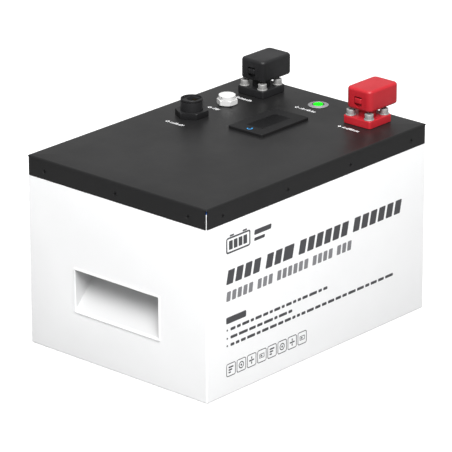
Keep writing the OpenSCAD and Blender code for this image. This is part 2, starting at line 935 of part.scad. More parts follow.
// The socket that slides over the pin, and the crimp barrel for the cable
module plug_contact() {
  arm_top = plug_roof - 0.4;
  difference() {
    union() {
      rod(socket_radius, post_floor + 0.5, arm_top);
      translate([0, -arm_half_width, arm_z])
        cube([barrel_start + 1, 2 * arm_half_width, arm_top - arm_z]);
      translate([barrel_start, 0, cable_z]) rotate([0, 90, 0])
        cylinder(r = barrel_radius, h = plug_back - seal_nut_length - cable_seal_length - 0.5 - barrel_start);
    }
    rod(pin_diameter / 2 + running_fit, post_floor - cut, lid_top + post_height);
    translate([barrel_start + 2, 0, cable_z]) rotate([0, 90, 0]) cylinder(r = barrel_bore, h = plug_back);
  }
}

module positive_plug_contact() {
  color("silver") at_terminal(positive_side) plug_contact();
}

module negative_plug_contact() {
  color("silver") at_terminal(negative_side) plug_contact();
}

// A tube along the cable, from x = low to x = high
module cable_tube(outer, inner, low, high) {
  translate([0, 0, cable_z]) rotate([0, 90, 0]) pipe(outer, inner, low, high);
}

module cable_seal() {
  high = plug_back - seal_nut_length;
  cable_tube(duct_radius - running_fit, cable_entry / 2 + cable_seal_gap, high - cable_seal_length, high);
}

module positive_cable_seal() {
  color("#303030") at_terminal(positive_side) cable_seal();
}

module negative_cable_seal() {
  color("#303030") at_terminal(negative_side) cable_seal();
}

module seal_nut() {
  cable_tube(duct_radius, cable_entry / 2, plug_back - seal_nut_length, plug_back);
}

module positive_seal_nut() {
  color("firebrick") at_terminal(positive_side) seal_nut();
}

module negative_seal_nut() {
  color("#1c1c1e") at_terminal(negative_side) seal_nut();
}

// The release button, a short upright barrel over a shield-shaped web, with the latch plate behind it
module release_button() {
  face = -plug_front - button_proud;
  web = -plug_front + shield_inset;
  barrel = button_width / 2;
  difference() {
    union() {
      intersection() {
        translate([face + barrel, 0, 0]) rod(barrel, button_top - button_height, button_top);
        translate([face, -barrel, plug_z]) cube([web - face + shield_web, 2 * barrel, plug_height]);
      }
      shield(web, web + shield_web, 0, latch_z);
      translate([web, -tongue_half_width, latch_z])
        cube([plug_front - mouth_radius + 1, 2 * tongue_half_width, latch_thickness]);
      translate([-mouth_radius + 0.2, -latch_half_width, latch_z])
        cube([mouth_radius - 0.2 + latch_reach, 2 * latch_half_width, latch_thickness]);
    }
    for (x = [0, -release_travel]) translate([x, 0, 0])
      rod(latch_hole, latch_z - cut, latch_z + latch_thickness + cut);
    translate([face + 1.6, 0, 0]) rod(0.8, button_top - 3, button_top + cut);
  }
}

module positive_release_button() {
  color("firebrick") at_terminal(positive_side) release_button();
}

module negative_release_button() {
  color("#1c1c1e") at_terminal(negative_side) release_button();
}

// ---- display ----

module display_bezel() {
  top = lid_top + display_height;
  color("#39393b") translate([display_x, 0, 0]) difference() {
    union() {
      block(display_length, display_width, lid_top, top, display_corner);
      plain_block(collar_length, collar_width, lid_under - collar_depth, lid_top);
    }
    block(window_length, window_width, top - window_thickness, top + cut, 0.5);
    plain_block(collar_length - 2 * collar_wall, collar_width - 2 * collar_wall,
      lid_under - collar_depth - cut, lid_top + 0.5);
    translate([-touch_key_offset, 0, 0]) rod(3, top - 0.2, top + cut);
  }
}

module display_window() {
  top = lid_top + display_height;
  color("#202022") translate([display_x, 0, 0])
    block(window_length - 0.1, window_width - 0.1, top - window_thickness, top, 0.45);
}

module display_board() {
  low = lid_under - collar_depth + 1.5;
  margin = 2 * (collar_wall + fit_gap);
  color("darkgreen") translate([display_x, 0, 0]) {
    plain_block(collar_length - margin, collar_width - margin, low, low + board_thickness);
    plain_block(window_length, window_width, low + board_thickness, lid_top + 0.4);
  }
}

module touch_key() {
  top = lid_top + display_height;
  color("dodgerblue") translate([display_x - touch_key_offset, 0, 0]) rod(2.9, top - 0.2, top);
}

// ---- data port ----

module port_shell() {
  top = lid_top + port_height;
  r = port_diameter / 2;
  flange_top = lid_under - port_seal;
  color("#222224") translate([port_x, port_y, 0]) difference() {
    union() {
      rod(r, lid_top + port_nut_height + fit_gap, top);
      rod(port_thread, flange_top - port_flange_height, top - 1);
      rod(port_flange_radius, flange_top - port_flange_height, flange_top);
      rod(r - 0.5, lid_top - port_tail, flange_top);
    }
    rod(port_core_radius, lid_top - port_tail - cut, top + cut);
    pipe(port_diameter, r - 0.6, top - 2.8, top - 2);
  }
}

module port_nut() {
  color("#222224") translate([port_x, port_y, 0])
    hex_ring(port_nut_flats, port_thread + thread_gap, lid_top, lid_top + port_nut_height);
}

// The moulded core with the socket for the data plug, its long side along Y
module port_insert() {
  top = lid_top + port_height - port_recess;
  color("#303032") translate([port_x, port_y, 0]) difference() {
    rod(port_core_radius, lid_top - port_tail, top);
    translate([jack_shift, 0, 0]) {
      plain_block(jack_width, jack_length, top - jack_depth, top + cut);
      translate([-(jack_width + jack_key_width) / 2, 0, 0])
        plain_block(jack_key_width + thread_gap, jack_key_length, top - jack_depth, top + cut);
    }
  }
}

module port_contacts() {
  top = lid_top + port_height - port_recess;
  x = jack_shift + jack_width / 2 - 0.5;
  color("gold") translate([port_x, port_y, 0]) for (k = [0:contact_count - 1])
    translate([x, (k - (contact_count - 1) / 2) * contact_pitch - 0.2, top - jack_depth])
      cube([0.5, 0.4, jack_depth - 2]);
}

// ---- vent valve ----

module vent_body() {
  seat = lid_top + seal_thickness;
  top = lid_top + vent_hex_height;
  reach = vent_flats / sqrt(3);
  chamfer = 0.8;
  color("white") translate([vent_x, vent_y, 0]) difference() {
    union() {
      intersection() {
        translate([0, 0, seat]) cylinder(r = reach, h = top - seat, $fn = 6);
        union() {
          rod(vent_flats, seat, top - chamfer);
          translate([0, 0, top - chamfer]) cylinder(r1 = reach, r2 = reach - chamfer, h = chamfer);
        }
      }
      rod(vent_stem_radius, lid_top - vent_stem_depth, seat);
      rod(membrane_radius, top, top + 1);
    }
    rod(vent_bore_radius, lid_top - vent_stem_depth - cut, top + 2 * cut);
  }
}

module vent_membrane() {
  low = lid_top + vent_hex_height + 1;
  color("gainsboro") translate([vent_x, vent_y, 0]) rod(membrane_radius - 0.3, low, low + membrane_thickness);
}

module vent_cap() {
  low = lid_top + vent_hex_height;
  high = low + vent_cap_height;
  r = vent_cap_diameter / 2;
  color("white") translate([vent_x, vent_y, 0]) difference() {
    union() {
      rod(r, low, high - 1);
      translate([0, 0, high - 1]) cylinder(r1 = r, r2 = r - 0.9, h = 1);
    }
    rod(membrane_radius + 1, low - cut, high - 1.6);
    for (turn = [0:90:270]) rotate([0, 0, turn])
      translate([membrane_radius, -vent_slot_width / 2, low - cut])
        cube([r, vent_slot_width, vent_slot_height + cut]);
  }
}

// ---- switch ----

module switch_barrel() {
  seat = lid_top + switch_seal;
  edge = 0.3;
  color("lightgray") translate([switch_x, 0, 0]) difference() {
    union() {
      rod(switch_bezel / 2, seat, bezel_top - edge);
      translate([0, 0, bezel_top - edge])
        cylinder(r1 = switch_bezel / 2, r2 = switch_bezel / 2 - edge, h = edge);
      rod(switch_stem_radius, lid_top - switch_depth, seat);
    }
    rod(switch_ring / 2, lid_top - switch_well, bezel_top + cut);
  }
}

module switch_surround() {
  color("#101012") translate([switch_x, 0, 0])
    pipe(switch_ring / 2, switch_cap_diameter / 2 + running_fit, lid_top - switch_skirt, bezel_top - 0.5);
}

// The coil that lifts the cap
module switch_spring() {
  low = lid_top - switch_well + spring_wire + 0.05;
  high = bezel_top - switch_skirt - spring_wire - 0.05;
  count = spring_turns * spring_steps;
  route = [for (i = [0:count]) let (a = 360 * i / spring_steps)
    [switch_x + spring_radius * cos(a), spring_radius * sin(a), low + (high - low) * i / count]];
  color("silver") sweep(route, spring_wire, [0, 0, 1], 6);
}

module switch_cap() {
  top = bezel_top + switch_cap_proud;
  r = switch_cap_diameter / 2;
  color("lime") translate([switch_x, 0, 0]) {
    rod(r, bezel_top - switch_skirt, top - 0.5);
    translate([0, 0, top - 0.5]) cylinder(r1 = r, r2 = r - 0.5, h = 0.5);
    rod(1.8, bezel_top - switch_skirt - 3, bezel_top - switch_skirt);
  }
}

case_shell();
handle_pan_left();
handle_pan_right();
lid();
lid_gasket();
lid_screws();
rim_nuts();
base_pad();
cell_1();
cell_2();
cell_3();
cell_4();
cell_spacers();
end_plates();
cell_straps();
pack_brackets();
cell_nuts();
busbars();
bms_heatsink();
bms_board();
bms_screws();
positive_lead();
negative_lead();
signal_harness();
positive_receptacle();
negative_receptacle();
positive_pin();
negative_pin();
receptacle_screws();
receptacle_washers();
lid_fitting_seals();
lid_fitting_nuts();
display_bezel();
display_window();
display_board();
touch_key();
port_shell();
port_nut();
port_insert();
port_contacts();
vent_body();
vent_cap();
vent_membrane();
switch_barrel();
switch_surround();
switch_spring();
switch_cap();
positive_swivel_ring();
negative_swivel_ring();
positive_plug_housing();
negative_plug_housing();
positive_plug_contact();
negative_plug_contact();
positive_cable_seal();
negative_cable_seal();
positive_seal_nut();
negative_seal_nut();
positive_release_button();
negative_release_button();
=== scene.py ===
"""Looks of the deep cycle battery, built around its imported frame: case, lid, terminals and fittings."""

import json
import math
import random

import bmesh
import bpy
from bpy.props import FloatProperty, FloatVectorProperty, IntProperty, PointerProperty
from mathutils import Matrix, Vector


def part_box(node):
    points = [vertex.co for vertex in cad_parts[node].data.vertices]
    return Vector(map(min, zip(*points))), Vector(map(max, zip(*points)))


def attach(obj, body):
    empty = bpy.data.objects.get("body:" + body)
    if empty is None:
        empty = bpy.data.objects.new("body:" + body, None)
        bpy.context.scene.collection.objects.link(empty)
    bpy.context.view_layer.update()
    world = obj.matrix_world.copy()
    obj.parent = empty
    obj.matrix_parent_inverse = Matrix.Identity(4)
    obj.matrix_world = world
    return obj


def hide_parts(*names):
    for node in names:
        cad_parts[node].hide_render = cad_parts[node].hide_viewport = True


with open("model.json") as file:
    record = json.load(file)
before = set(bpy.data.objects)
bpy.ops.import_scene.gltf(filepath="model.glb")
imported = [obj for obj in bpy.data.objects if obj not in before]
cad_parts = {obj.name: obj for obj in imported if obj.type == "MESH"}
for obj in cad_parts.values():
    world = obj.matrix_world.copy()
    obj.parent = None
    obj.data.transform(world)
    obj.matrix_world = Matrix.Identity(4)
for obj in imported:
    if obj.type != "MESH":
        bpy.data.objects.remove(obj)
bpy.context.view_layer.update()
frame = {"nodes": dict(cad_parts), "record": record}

bl_info = {
    "name": "Deep Cycle Battery",
    "version": (1, 0, 0),
    "blender": (4, 5, 0),
    "location": "View3D > Sidebar > Battery",
    "description": "Builds a sheet-metal battery with swivelling cable plugs around its packed frame",
    "category": "Object",
}

MM = 0.001
SEGMENTS = 48
ORIGIN = (0.0, 0.0)
MERGE = 2e-6  # closer points of a copied node are one
POST_RADIUS = 8.8 * MM
PIN_BORE = 4.02 * MM
LIGHT_TARGET = Vector((0.0, 0.0, 0.1))

CASE_LOW, CASE_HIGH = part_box("case_shell")
LID_LOW, LID_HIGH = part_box("lid")
LID_TOP = LID_HIGH.z
HALF_LENGTH = LID_HIGH.x
HALF_WIDTH = LID_HIGH.y
SIGNS = {"positive": "red", "negative": "black"}
CORNERS = [(sx, sy) for sx in (-1, 1) for sy in (-1, 1)]
DUST = (0.36, 0.34, 0.31)


def middle(node):
    """The centre of a frame node's box."""
    low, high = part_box(node)
    return (low + high) / 2


def axis_of(node):
    """The upright axis through a frame node's middle."""
    mid = middle(node)
    return (mid.x, mid.y)


def length(name, millimetres, description):
    return FloatProperty(
        name=name,
        description=description,
        default=millimetres * MM,
        min=0.0,
        precision=5,
        unit="LENGTH",
    )


def tint(name, colour, description):
    return FloatVectorProperty(
        name=name, description=description, default=colour, min=0.0, max=1.0, size=3, subtype="COLOR"
    )


def amount(name, value, description, high=10.0):
    return FloatProperty(name=name, description=description, default=value, min=0.0, max=high)


def angle(name, degrees, description):
    return FloatProperty(
        name=name, description=description, default=math.radians(degrees), subtype="ANGLE"
    )


# ---- settings ----


class CaseSizes(bpy.types.PropertyGroup):
    bend: length("Case bend", 1.6, "Outside radius of the case's folded edges")
    wall: length("Case wall", 1.2, "Sheet thickness of the case")
    paint: length("Paint", 0.04, "How far the printed ink stands over the painted wall")
    step_round: length("Step round", 0.5, "Radius of the step below the lid")
    pan_edge: length("Pan edge", 0.2, "Rounding of the handle pans' edges")


class LidSizes(bpy.types.PropertyGroup):
    bend: length("Lid bend", 1.8, "Outside radius of the lid's folded edges")
    sheet: length("Lid sheet", 1.2, "Sheet thickness of the lid")
    relief: length("Corner relief", 0.2, "Size of the notch where two flanges meet")
    screw_head: length("Screw head", 6.0, "Diameter of the countersunk lid screws")
    screw_cross: length("Screw cross", 0.95, "Width of the cross in a lid screw")
    screws_long: IntProperty(name="Long side screws", description="Lid screws on a long side", default=4)
    screws_short: IntProperty(name="Short side screws", description="Lid screws on a short side", default=3)


class TerminalSizes(bpy.types.PropertyGroup):
    base: length("Base side", 34, "Side of the square terminal base")
    base_round: length("Base round", 1.0, "Rounding of the terminal base's top edge")
    pitch: length("Screw pitch", 23, "Distance between the terminal screws")
    head: length("Screw head", 8.5, "Diameter of the terminal screws' heads")
    head_height: length("Head height", 5, "Height of the terminal screws' heads")
    socket: length("Hex socket", 4, "Width of the hexagon socket in a terminal screw")
    washer: length("Washer", 10, "Diameter of the washers")
    washer_height: length("Washer height", 1, "Thickness of the washers")
    plug_round: length("Plug round", 5.6, "Rounding of the plug's upright edges")
    plug_foot: length("Plug foot round", 4.2, "Rounding of the plug's bottom edge")
    plug_crown: length("Plug crown", 5.2, "Round of the upper edge of a plug")


class FittingSizes(bpy.types.PropertyGroup):
    bezel_corner: length("Display corner", 2.2, "Corner radius of the display plate")
    bezel_edge: length("Display edge", 0.5, "Rounding of the display plate's top edge")
    key_ring: length("Key ring", 2.4, "Mean radius of the lit touch mark")
    key_stroke: length("Key stroke", 0.9, "Width of the lit touch mark")
    nut_chamfer: length("Nut chamfer", 0.7, "Chamfer of the port's nut")
    vent_chamfer: length("Vent chamfer", 0.9, "Chamfer of the vent's hexagon")
    lamp: length("Lamp", 9.4, "Diameter of the switch's lit button")


class PrintSizes(bpy.types.PropertyGroup):
    slant: amount("Slant", 0.22, "Sideways lean of the printed bars per unit of height")
    title: length("Title height", 14.0, "Height of the bold printed row")
    second: length("Second height", 9.6, "Height of the second printed row")
    small: length("Small height", 2.9, "Height of the thin printed rows")
    lid_mark: length("Lid mark height", 4.2, "Height of the marks printed on the lid")


class FinishColours(bpy.types.PropertyGroup):
    case: tint("Case paint", (0.825, 0.828, 0.832), "Colour of the painted case")
    lid: tint("Lid paint", (0.0105, 0.0105, 0.0108), "Colour of the textured lid")
    gasket: tint("Gasket", (0.012, 0.1, 0.42), "Colour of the foam gasket")
    red: tint("Red plastic", (0.41, 0.0135, 0.0215), "Colour of the positive plug")
    black: tint("Black plastic", (0.014, 0.014, 0.015), "Colour of the negative plug")
    steel: tint("Screw steel", (0.4, 0.398, 0.392), "Colour of the terminal screws")
    display: tint("Display plate", (0.0115, 0.0115, 0.012), "Colour of the display plate")
    key: tint("Touch mark", (0.03, 0.3, 0.68), "Colour of the lit touch mark")
    lamp: tint("Lamp", (0.0, 0.95, 0.0), "Colour of the switch's lamp")
    valve: tint("Valve", (0.6, 0.6, 0.595), "Colour of the pressure valve")
    ring: tint("Switch metal", (0.42, 0.42, 0.43), "Colour of the switch's bezel")
    ink: tint("Case ink", (0.06, 0.06, 0.065), "Colour of the print on the case")
    lid_ink: tint("Lid ink", (0.85, 0.85, 0.86), "Colour of the print on the lid")


class StageSettings(bpy.types.PropertyGroup):
    turn: angle("Camera turn", -48.339, "Camera's turn about the upright axis")
    rise: angle("Camera rise", 20.844, "Camera's height angle over the floor")
    roll: angle("Camera roll", -0.111, "Camera's roll")
    lens: FloatProperty(name="Lens", description="Focal length", default=293.8, unit="CAMERA")
    spot: FloatVectorProperty(
        name="Camera place", description="Where the camera stands", size=3,
        default=(-2.4985, -2.2189, 1.3756), subtype="TRANSLATION",
    )
    world: amount("World light", 0.45, "Strength of the even studio light", 5.0)
    floor_glow: amount("Floor glow", 1.0, "How much light the floor sends out", 5.0)
    key_power: amount("Key light", 178.0, "Power of the soft light over the viewer", 2000.0)
    top_power: amount("Top light", 40.0, "Power of the overhead soft light", 2000.0)


class BatterySettings(bpy.types.PropertyGroup):
    case: PointerProperty(type=CaseSizes, name="Case", description="Sizes of the case")
    lid: PointerProperty(type=LidSizes, name="Lid", description="Sizes of the lid")
    terminal: PointerProperty(type=TerminalSizes, name="Terminals", description="Sizes of the terminals")
    fitting: PointerProperty(type=FittingSizes, name="Fittings", description="Sizes of the lid's fittings")
    ink: PointerProperty(type=PrintSizes, name="Print", description="Sizes of the printed marks")
    colour: PointerProperty(type=FinishColours, name="Colours", description="Colours of the finishes")
    stage: PointerProperty(type=StageSettings, name="Stage", description="Camera, floor and lights")


# ---- loops and skins ----


def polar(centre, radius, turn):
    return (centre[0] + radius * math.cos(turn), centre[1] + radius * math.sin(turn))


def circle(radius, z, centre=ORIGIN, count=SEGMENTS):
    return [Vector((*polar(centre, radius, math.tau * k / count), z)) for k in range(count)]


def hexagon(flats, z, centre=ORIGIN, cap=1e9, count=SEGMENTS):
    """A hexagon with corners on the X axis; cap rounds its corners off at that radius."""
    points = []
    for k in range(count):
        turn = math.tau * k / count
        side = (turn % (math.pi / 3)) - math.pi / 6
        reach = min(flats / 2 / math.cos(side), cap)
        points.append(Vector((*polar(centre, reach, turn), z)))
    return points


def rectangle(half_x, half_y, radius, z, centre=ORIGIN, steps=5):
    points = []
    radius = max(min(radius, half_x, half_y), 0.0)
    for sx, sy, start in ((1, 1, 0), (-1, 1, 90), (-1, -1, 180), (1, -1, 270)):
        knee = (centre[0] + sx * (half_x - radius), centre[1] + sy * (half_y - radius))
        for k in range(steps + 1):
            points.append(Vector((*polar(knee, radius, math.radians(start + 90 * k / steps)), z)))
    return points


def fillet(corners, steps=4, closed=False):
    """Rounds a chain of (u, v, radius) corners and returns its (u, v) points."""
    points = []
    count = len(corners)
    for i, (u, v, radius) in enumerate(corners):
        ends = not closed and i in (0, count - 1)
        if radius <= 0 or ends:
            points.append((u, v))
            continue
        here = Vector((u, v))
        back = Vector(corners[i - 1][:2]) - here
        on = Vector(corners[(i + 1) % count][:2]) - here
        shortest = min(back.length, on.length)
        back.normalize()
        on.normalize()
        half = math.acos(max(-1.0, min(1.0, back.dot(on)))) / 2
        if half > 1.54:
            points.append((u, v))
            continue
        reach = min(radius / math.tan(half), shortest * 0.49)
        radius = reach * math.tan(half)
        centre = here + (back + on).normalized() * (radius / math.sin(half))
        start = here + back * reach - centre
        end = here + on * reach - centre
        sweep = math.atan2(start.x * end.y - start.y * end.x, start.dot(end))
        for k in range(steps + 1):
            turn = sweep * k / steps
            c, s = math.cos(turn), math.sin(turn)
            points.append((centre.x + c * start.x - s * start.y, centre.y + s * start.x + c * start.y))
    return points


def add_skin(mesh, loops, wrap=False):
    rings = [[mesh.verts.new(point) for point in loop] for loop in loops]
    pairs = list(zip(rings, rings[1:]))
    if wrap:
        pairs.append((rings[-1], rings[0]))
    for low, high in pairs:
        for k in range(len(low)):
            on = (k + 1) % len(low)
            mesh.faces.new((low[k], low[on], high[on], high[k]))
    if not wrap:
        mesh.faces.new(list(reversed(rings[0])))
        mesh.faces.new(rings[-1])


def clean(mesh):
    bmesh.ops.remove_doubles(mesh, verts=mesh.verts, dist=2e-7)
    bmesh.ops.dissolve_degenerate(mesh, dist=1e-7, edges=mesh.edges)
    bmesh.ops.recalc_face_normals(mesh, faces=mesh.faces)


def linked(name, data):
    """A new object in the scene."""
    thing = bpy.data.objects.new(name, data)
    bpy.context.scene.collection.objects.link(thing)
    return thing


def mesh_object(name, mesh):
    """Turns an edit mesh into an object."""
    data = bpy.data.meshes.new(name)
    mesh.to_mesh(data)
    mesh.free()
    return linked(name, data)


def skin(name, loops, wrap=False):
    """A closed skin over a chain of loops."""
    mesh = bmesh.new()
    add_skin(mesh, loops, wrap)
    clean(mesh)
    return mesh_object(name, mesh)


def lathe(name, profile, centre, wrap=False, count=64):
    """Turns (radius, z) points about an upright axis at centre."""
    return skin(name, [circle(r, z, centre, count) for r, z in profile], wrap)


def place(thing, matrix):
    thing.data.transform(matrix)
    return thing


def join(name, things):
    mesh = bmesh.new()
    for thing in things:
        mesh.from_mesh(thing.data)
        bpy.data.objects.remove(thing)
    return mesh_object(name, mesh)


def apply_modifiers(thing):
    bpy.context.view_layer.update()
    shape = thing.evaluated_get(bpy.context.evaluated_depsgraph_get())
    data = bpy.data.meshes.new_from_object(shape)
    thing.modifiers.clear()
    thing.data = data
    return thing


def carve(thing, cutters, operation="DIFFERENCE", apart=False):
    """Takes the cutters out of the thing, or joins them to it, for good; apart says that none meet."""
    if apart:
        cutters = [join("cutter", cutters)]
    for cutter in cutters:
        step = thing.modifiers.new("carve", "BOOLEAN")
        step.operation = operation
        step.solver = "EXACT"
        step.object = cutter
    apply_modifiers(thing)
    for cutter in cutters:
        bpy.data.objects.remove(cutter)
    return thing


def soften(thing, width, segments=2, degrees=40):
    """Rounds the sharp edges for good."""
    mesh = bmesh.new()
    mesh.from_mesh(thing.data)
    bmesh.ops.remove_doubles(mesh, verts=mesh.verts, dist=MERGE)
    bmesh.ops.dissolve_limit(
        mesh, angle_limit=math.radians(0.6), use_dissolve_boundaries=False,
        verts=mesh.verts, edges=mesh.edges,
    )
    mesh.to_mesh(thing.data)
    mesh.free()
    step = thing.modifiers.new("soften", "BEVEL")
    step.width = width
    step.segments = segments
    step.limit_method = "ANGLE"
    step.angle_limit = math.radians(degrees)
    step.use_clamp_overlap = True
    step.miter_outer = "MITER_ARC"
    return apply_modifiers(thing)


def box(name, low, high):
    """A plain cutter."""
    half = (Vector(high) - Vector(low)) / 2
    mid = (Vector(high) + Vector(low)) / 2
    loops = [rectangle(half.x, half.y, 0.0, z, (mid.x, mid.y), 1) for z in (low[2], high[2])]
    return skin(name, loops)


def rod(name, radius, low, high, centre, count=48):
    return lathe(name, [(radius, low), (radius, high)], centre, count=count)


def copy_of(node, name):
    """A merged copy of a frame node, to be worked on."""
    mesh = bmesh.new()
    mesh.from_mesh(frame["nodes"][node].data)
    bmesh.ops.remove_doubles(mesh, verts=mesh.verts, dist=MERGE)
    return mesh_object(name, mesh)


def shade(thing, degrees=34):
    for face in thing.data.polygons:
        face.use_smooth = True
    thing.data.set_sharp_from_angle(angle=math.radians(degrees))


def settle(thing, slot, body, *nodes, degrees=34, paint=None):
    """Gives a made piece its body and its finish, which has the slot's name unless paint says."""
    thing.data.materials.clear()
    thing.data.materials.append(finish(paint or slot))
    shade(thing, degrees)
    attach(thing, body)
    if nodes:
        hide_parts(*nodes)
    return thing


# ---- shader groups ----


def new_group(name, inputs, outputs):
    tree = bpy.data.node_groups.new(name, "ShaderNodeTree")
    for label, value in inputs:
        socket = tree.interface.new_socket(label, in_out="INPUT", socket_type="NodeSocketFloat")
        socket.default_value = value
    for label in outputs:
        tree.interface.new_socket(label, in_out="OUTPUT", socket_type="NodeSocketFloat")
    start = tree.nodes.new("NodeGroupInput")
    end = tree.nodes.new("NodeGroupOutput")
    return tree, start, end


def node(tree, kind, **settings):
    made = tree.nodes.new(kind)
    for key, value in settings.items():
        setattr(made, key, value)
    return made


def feed(tree, value, socket):
    """Links another socket to this one, or sets its plain value."""
    if isinstance(value, bpy.types.NodeSocket):
        tree.links.new(value, socket)
    else:
        socket.default_value = value


def object_coordinates(tree):
    return node(tree, "ShaderNodeTexCoord").outputs["Object"]


def maths(tree, operation, first, second=None, clamp=False):
    made = node(tree, "ShaderNodeMath", operation=operation, use_clamp=clamp)
    feed(tree, first, made.inputs[0])
    if second is not None:
        feed(tree, second, made.inputs[1])
    return made.outputs[0]


def noise(tree, vector, scale, detail=2.0, rough=0.5):
    made = node(tree, "ShaderNodeTexNoise")
    made.inputs["Detail"].default_value = detail
    made.inputs["Roughness"].default_value = rough
    feed(tree, vector, made.inputs["Vector"])
    feed(tree, scale, made.inputs["Scale"])
    return made.outputs["Fac"]


def ramp(tree, value, low, high):
    """0 below low, 1 above high, smooth between."""
    made = node(tree, "ShaderNodeMapRange", interpolation_type="SMOOTHSTEP", clamp=True)
    tree.links.new(value, made.inputs["Value"])
    made.inputs["From Min"].default_value = low
    made.inputs["From Max"].default_value = high
    return made.outputs["Result"]


def fine_grain_group():
    """Small bumps of a textured paint or moulding, and slow patches of tone."""
    tree, start, end = new_group(
        "fine_grain", [("Scale", 1200.0), ("Patch Scale", 22.0)], ["Height", "Tone"]
    )
    spot = object_coordinates(tree)
    small = noise(tree, spot, start.outputs["Scale"], 1.5, 0.5)
    tree.links.new(ramp(tree, small, 0.3, 0.7), end.inputs["Height"])
    patch = noise(tree, spot, start.outputs["Patch Scale"], 4.0, 0.55)
    tree.links.new(ramp(tree, patch, 0.3, 0.7), end.inputs["Tone"])
    return tree


def brushed_group():
    """Long fine lines of a drawn or turned metal."""
    tree, start, end = new_group(
        "brushed_lines", [("Scale", 900.0), ("Stretch", 0.04)], ["Height", "Tone"]
    )
    spot = object_coordinates(tree)
    split = node(tree, "ShaderNodeSeparateXYZ")
    tree.links.new(spot, split.inputs[0])
    merged = node(tree, "ShaderNodeCombineXYZ")
    tree.links.new(maths(tree, "MULTIPLY", split.outputs["X"], start.outputs["Stretch"]), merged.inputs["X"])
    tree.links.new(split.outputs["Y"], merged.inputs["Y"])
    tree.links.new(split.outputs["Z"], merged.inputs["Z"])
    lines = noise(tree, merged.outputs[0], start.outputs["Scale"], 4.0, 0.7)
    tree.links.new(lines, end.inputs["Height"])
    tree.links.new(ramp(tree, lines, 0.35, 0.65), end.inputs["Tone"])
    return tree


def settled_dust_group():
    """Thin dust that lies on faces that look up."""
    tree, start, end = new_group("settled_dust", [("Amount", 0.2), ("Scale", 60.0)], ["Mask"])
    spot = object_coordinates(tree)
    facing = node(tree, "ShaderNodeSeparateXYZ")
    tree.links.new(node(tree, "ShaderNodeNewGeometry").outputs["Normal"], facing.inputs[0])
    up = ramp(tree, facing.outputs["Z"], 0.55, 1.0)
    cloud = ramp(tree, noise(tree, spot, start.outputs["Scale"], 5.0, 0.6), 0.42, 0.75)
    speck = ramp(tree, noise(tree, spot, 2600.0, 1.0), 0.6, 0.74)
    both = maths(tree, "ADD", maths(tree, "MULTIPLY", cloud, 0.6), maths(tree, "MULTIPLY", speck, 0.7))
    seen = maths(tree, "MULTIPLY", both, up)
    mask = maths(tree, "MULTIPLY", seen, start.outputs["Amount"], clamp=True)
    tree.links.new(mask, end.inputs["Mask"])
    return tree


def rubbed_group():
    """Thin scuffs where hands and cloths have passed."""
    tree, start, end = new_group("rubbed_marks", [("Amount", 0.3), ("Scale", 40.0)], ["Mask"])
    spot = object_coordinates(tree)
    bent = node(tree, "ShaderNodeMapping")
    bent.inputs["Rotation"].default_value = (0.4, 0.7, 0.9)
    bent.inputs["Scale"].default_value = (1.0, 14.0, 5.0)
    tree.links.new(spot, bent.inputs["Vector"])
    lines = ramp(tree, noise(tree, bent.outputs[0], start.outputs["Scale"], 6.0, 0.6), 0.62, 0.72)
    where = ramp(tree, noise(tree, spot, 18.0, 2.0), 0.45, 0.7)
    mask = maths(tree, "MULTIPLY", maths(tree, "MULTIPLY", lines, where), start.outputs["Amount"], clamp=True)
    tree.links.new(mask, end.inputs["Mask"])
    return tree


def set_back_group():
    """The parts of the ends that lie behind the case's outer face, where deep paints shade into the handle
    pans.
    """
    tree, start, end = new_group("set_back", [("From", 0.1594), ("Over", 0.0006)], ["Mask"])
    split = node(tree, "ShaderNodeSeparateXYZ")
    tree.links.new(object_coordinates(tree), split.inputs[0])
    across = maths(tree, "ABSOLUTE", split.outputs["X"])
    behind = maths(tree, "SUBTRACT", start.outputs["From"], across)
    tree.links.new(maths(tree, "DIVIDE", behind, start.outputs["Over"], clamp=True), end.inputs["Mask"])
    return tree


GROUPS = {
    "fine_grain": fine_grain_group,
    "brushed_lines": brushed_group,
    "settled_dust": settled_dust_group,
    "rubbed_marks": rubbed_group,
    "set_back": set_back_group,
}


def use_group(tree, name, **values):
    """Places a shared effect in a material with its own values."""
    group = bpy.data.node_groups.get(name) or GROUPS[name]()
    made = node(tree, "ShaderNodeGroup", node_tree=group)
    for label, value in values.items():
        made.inputs[label.replace("_", " ")].default_value = value
    return made


def mix_colour(tree, factor, first, second):
    made = node(tree, "ShaderNodeMix", data_type="RGBA")
    tree.links.new(factor, made.inputs["Factor"])
    for socket, value in ((made.inputs["A"], first), (made.inputs["B"], second)):
        feed(tree, value if isinstance(value, bpy.types.NodeSocket) else (*value, 1.0), socket)
    return made.outputs["Result"]


def mix_value(tree, factor, first, second):
    made = node(tree, "ShaderNodeMapRange", clamp=True)
    tree.links.new(factor, made.inputs["Value"])
    feed(tree, first, made.inputs["To Min"])
    feed(tree, second, made.inputs["To Max"])
    return made.outputs["Result"]


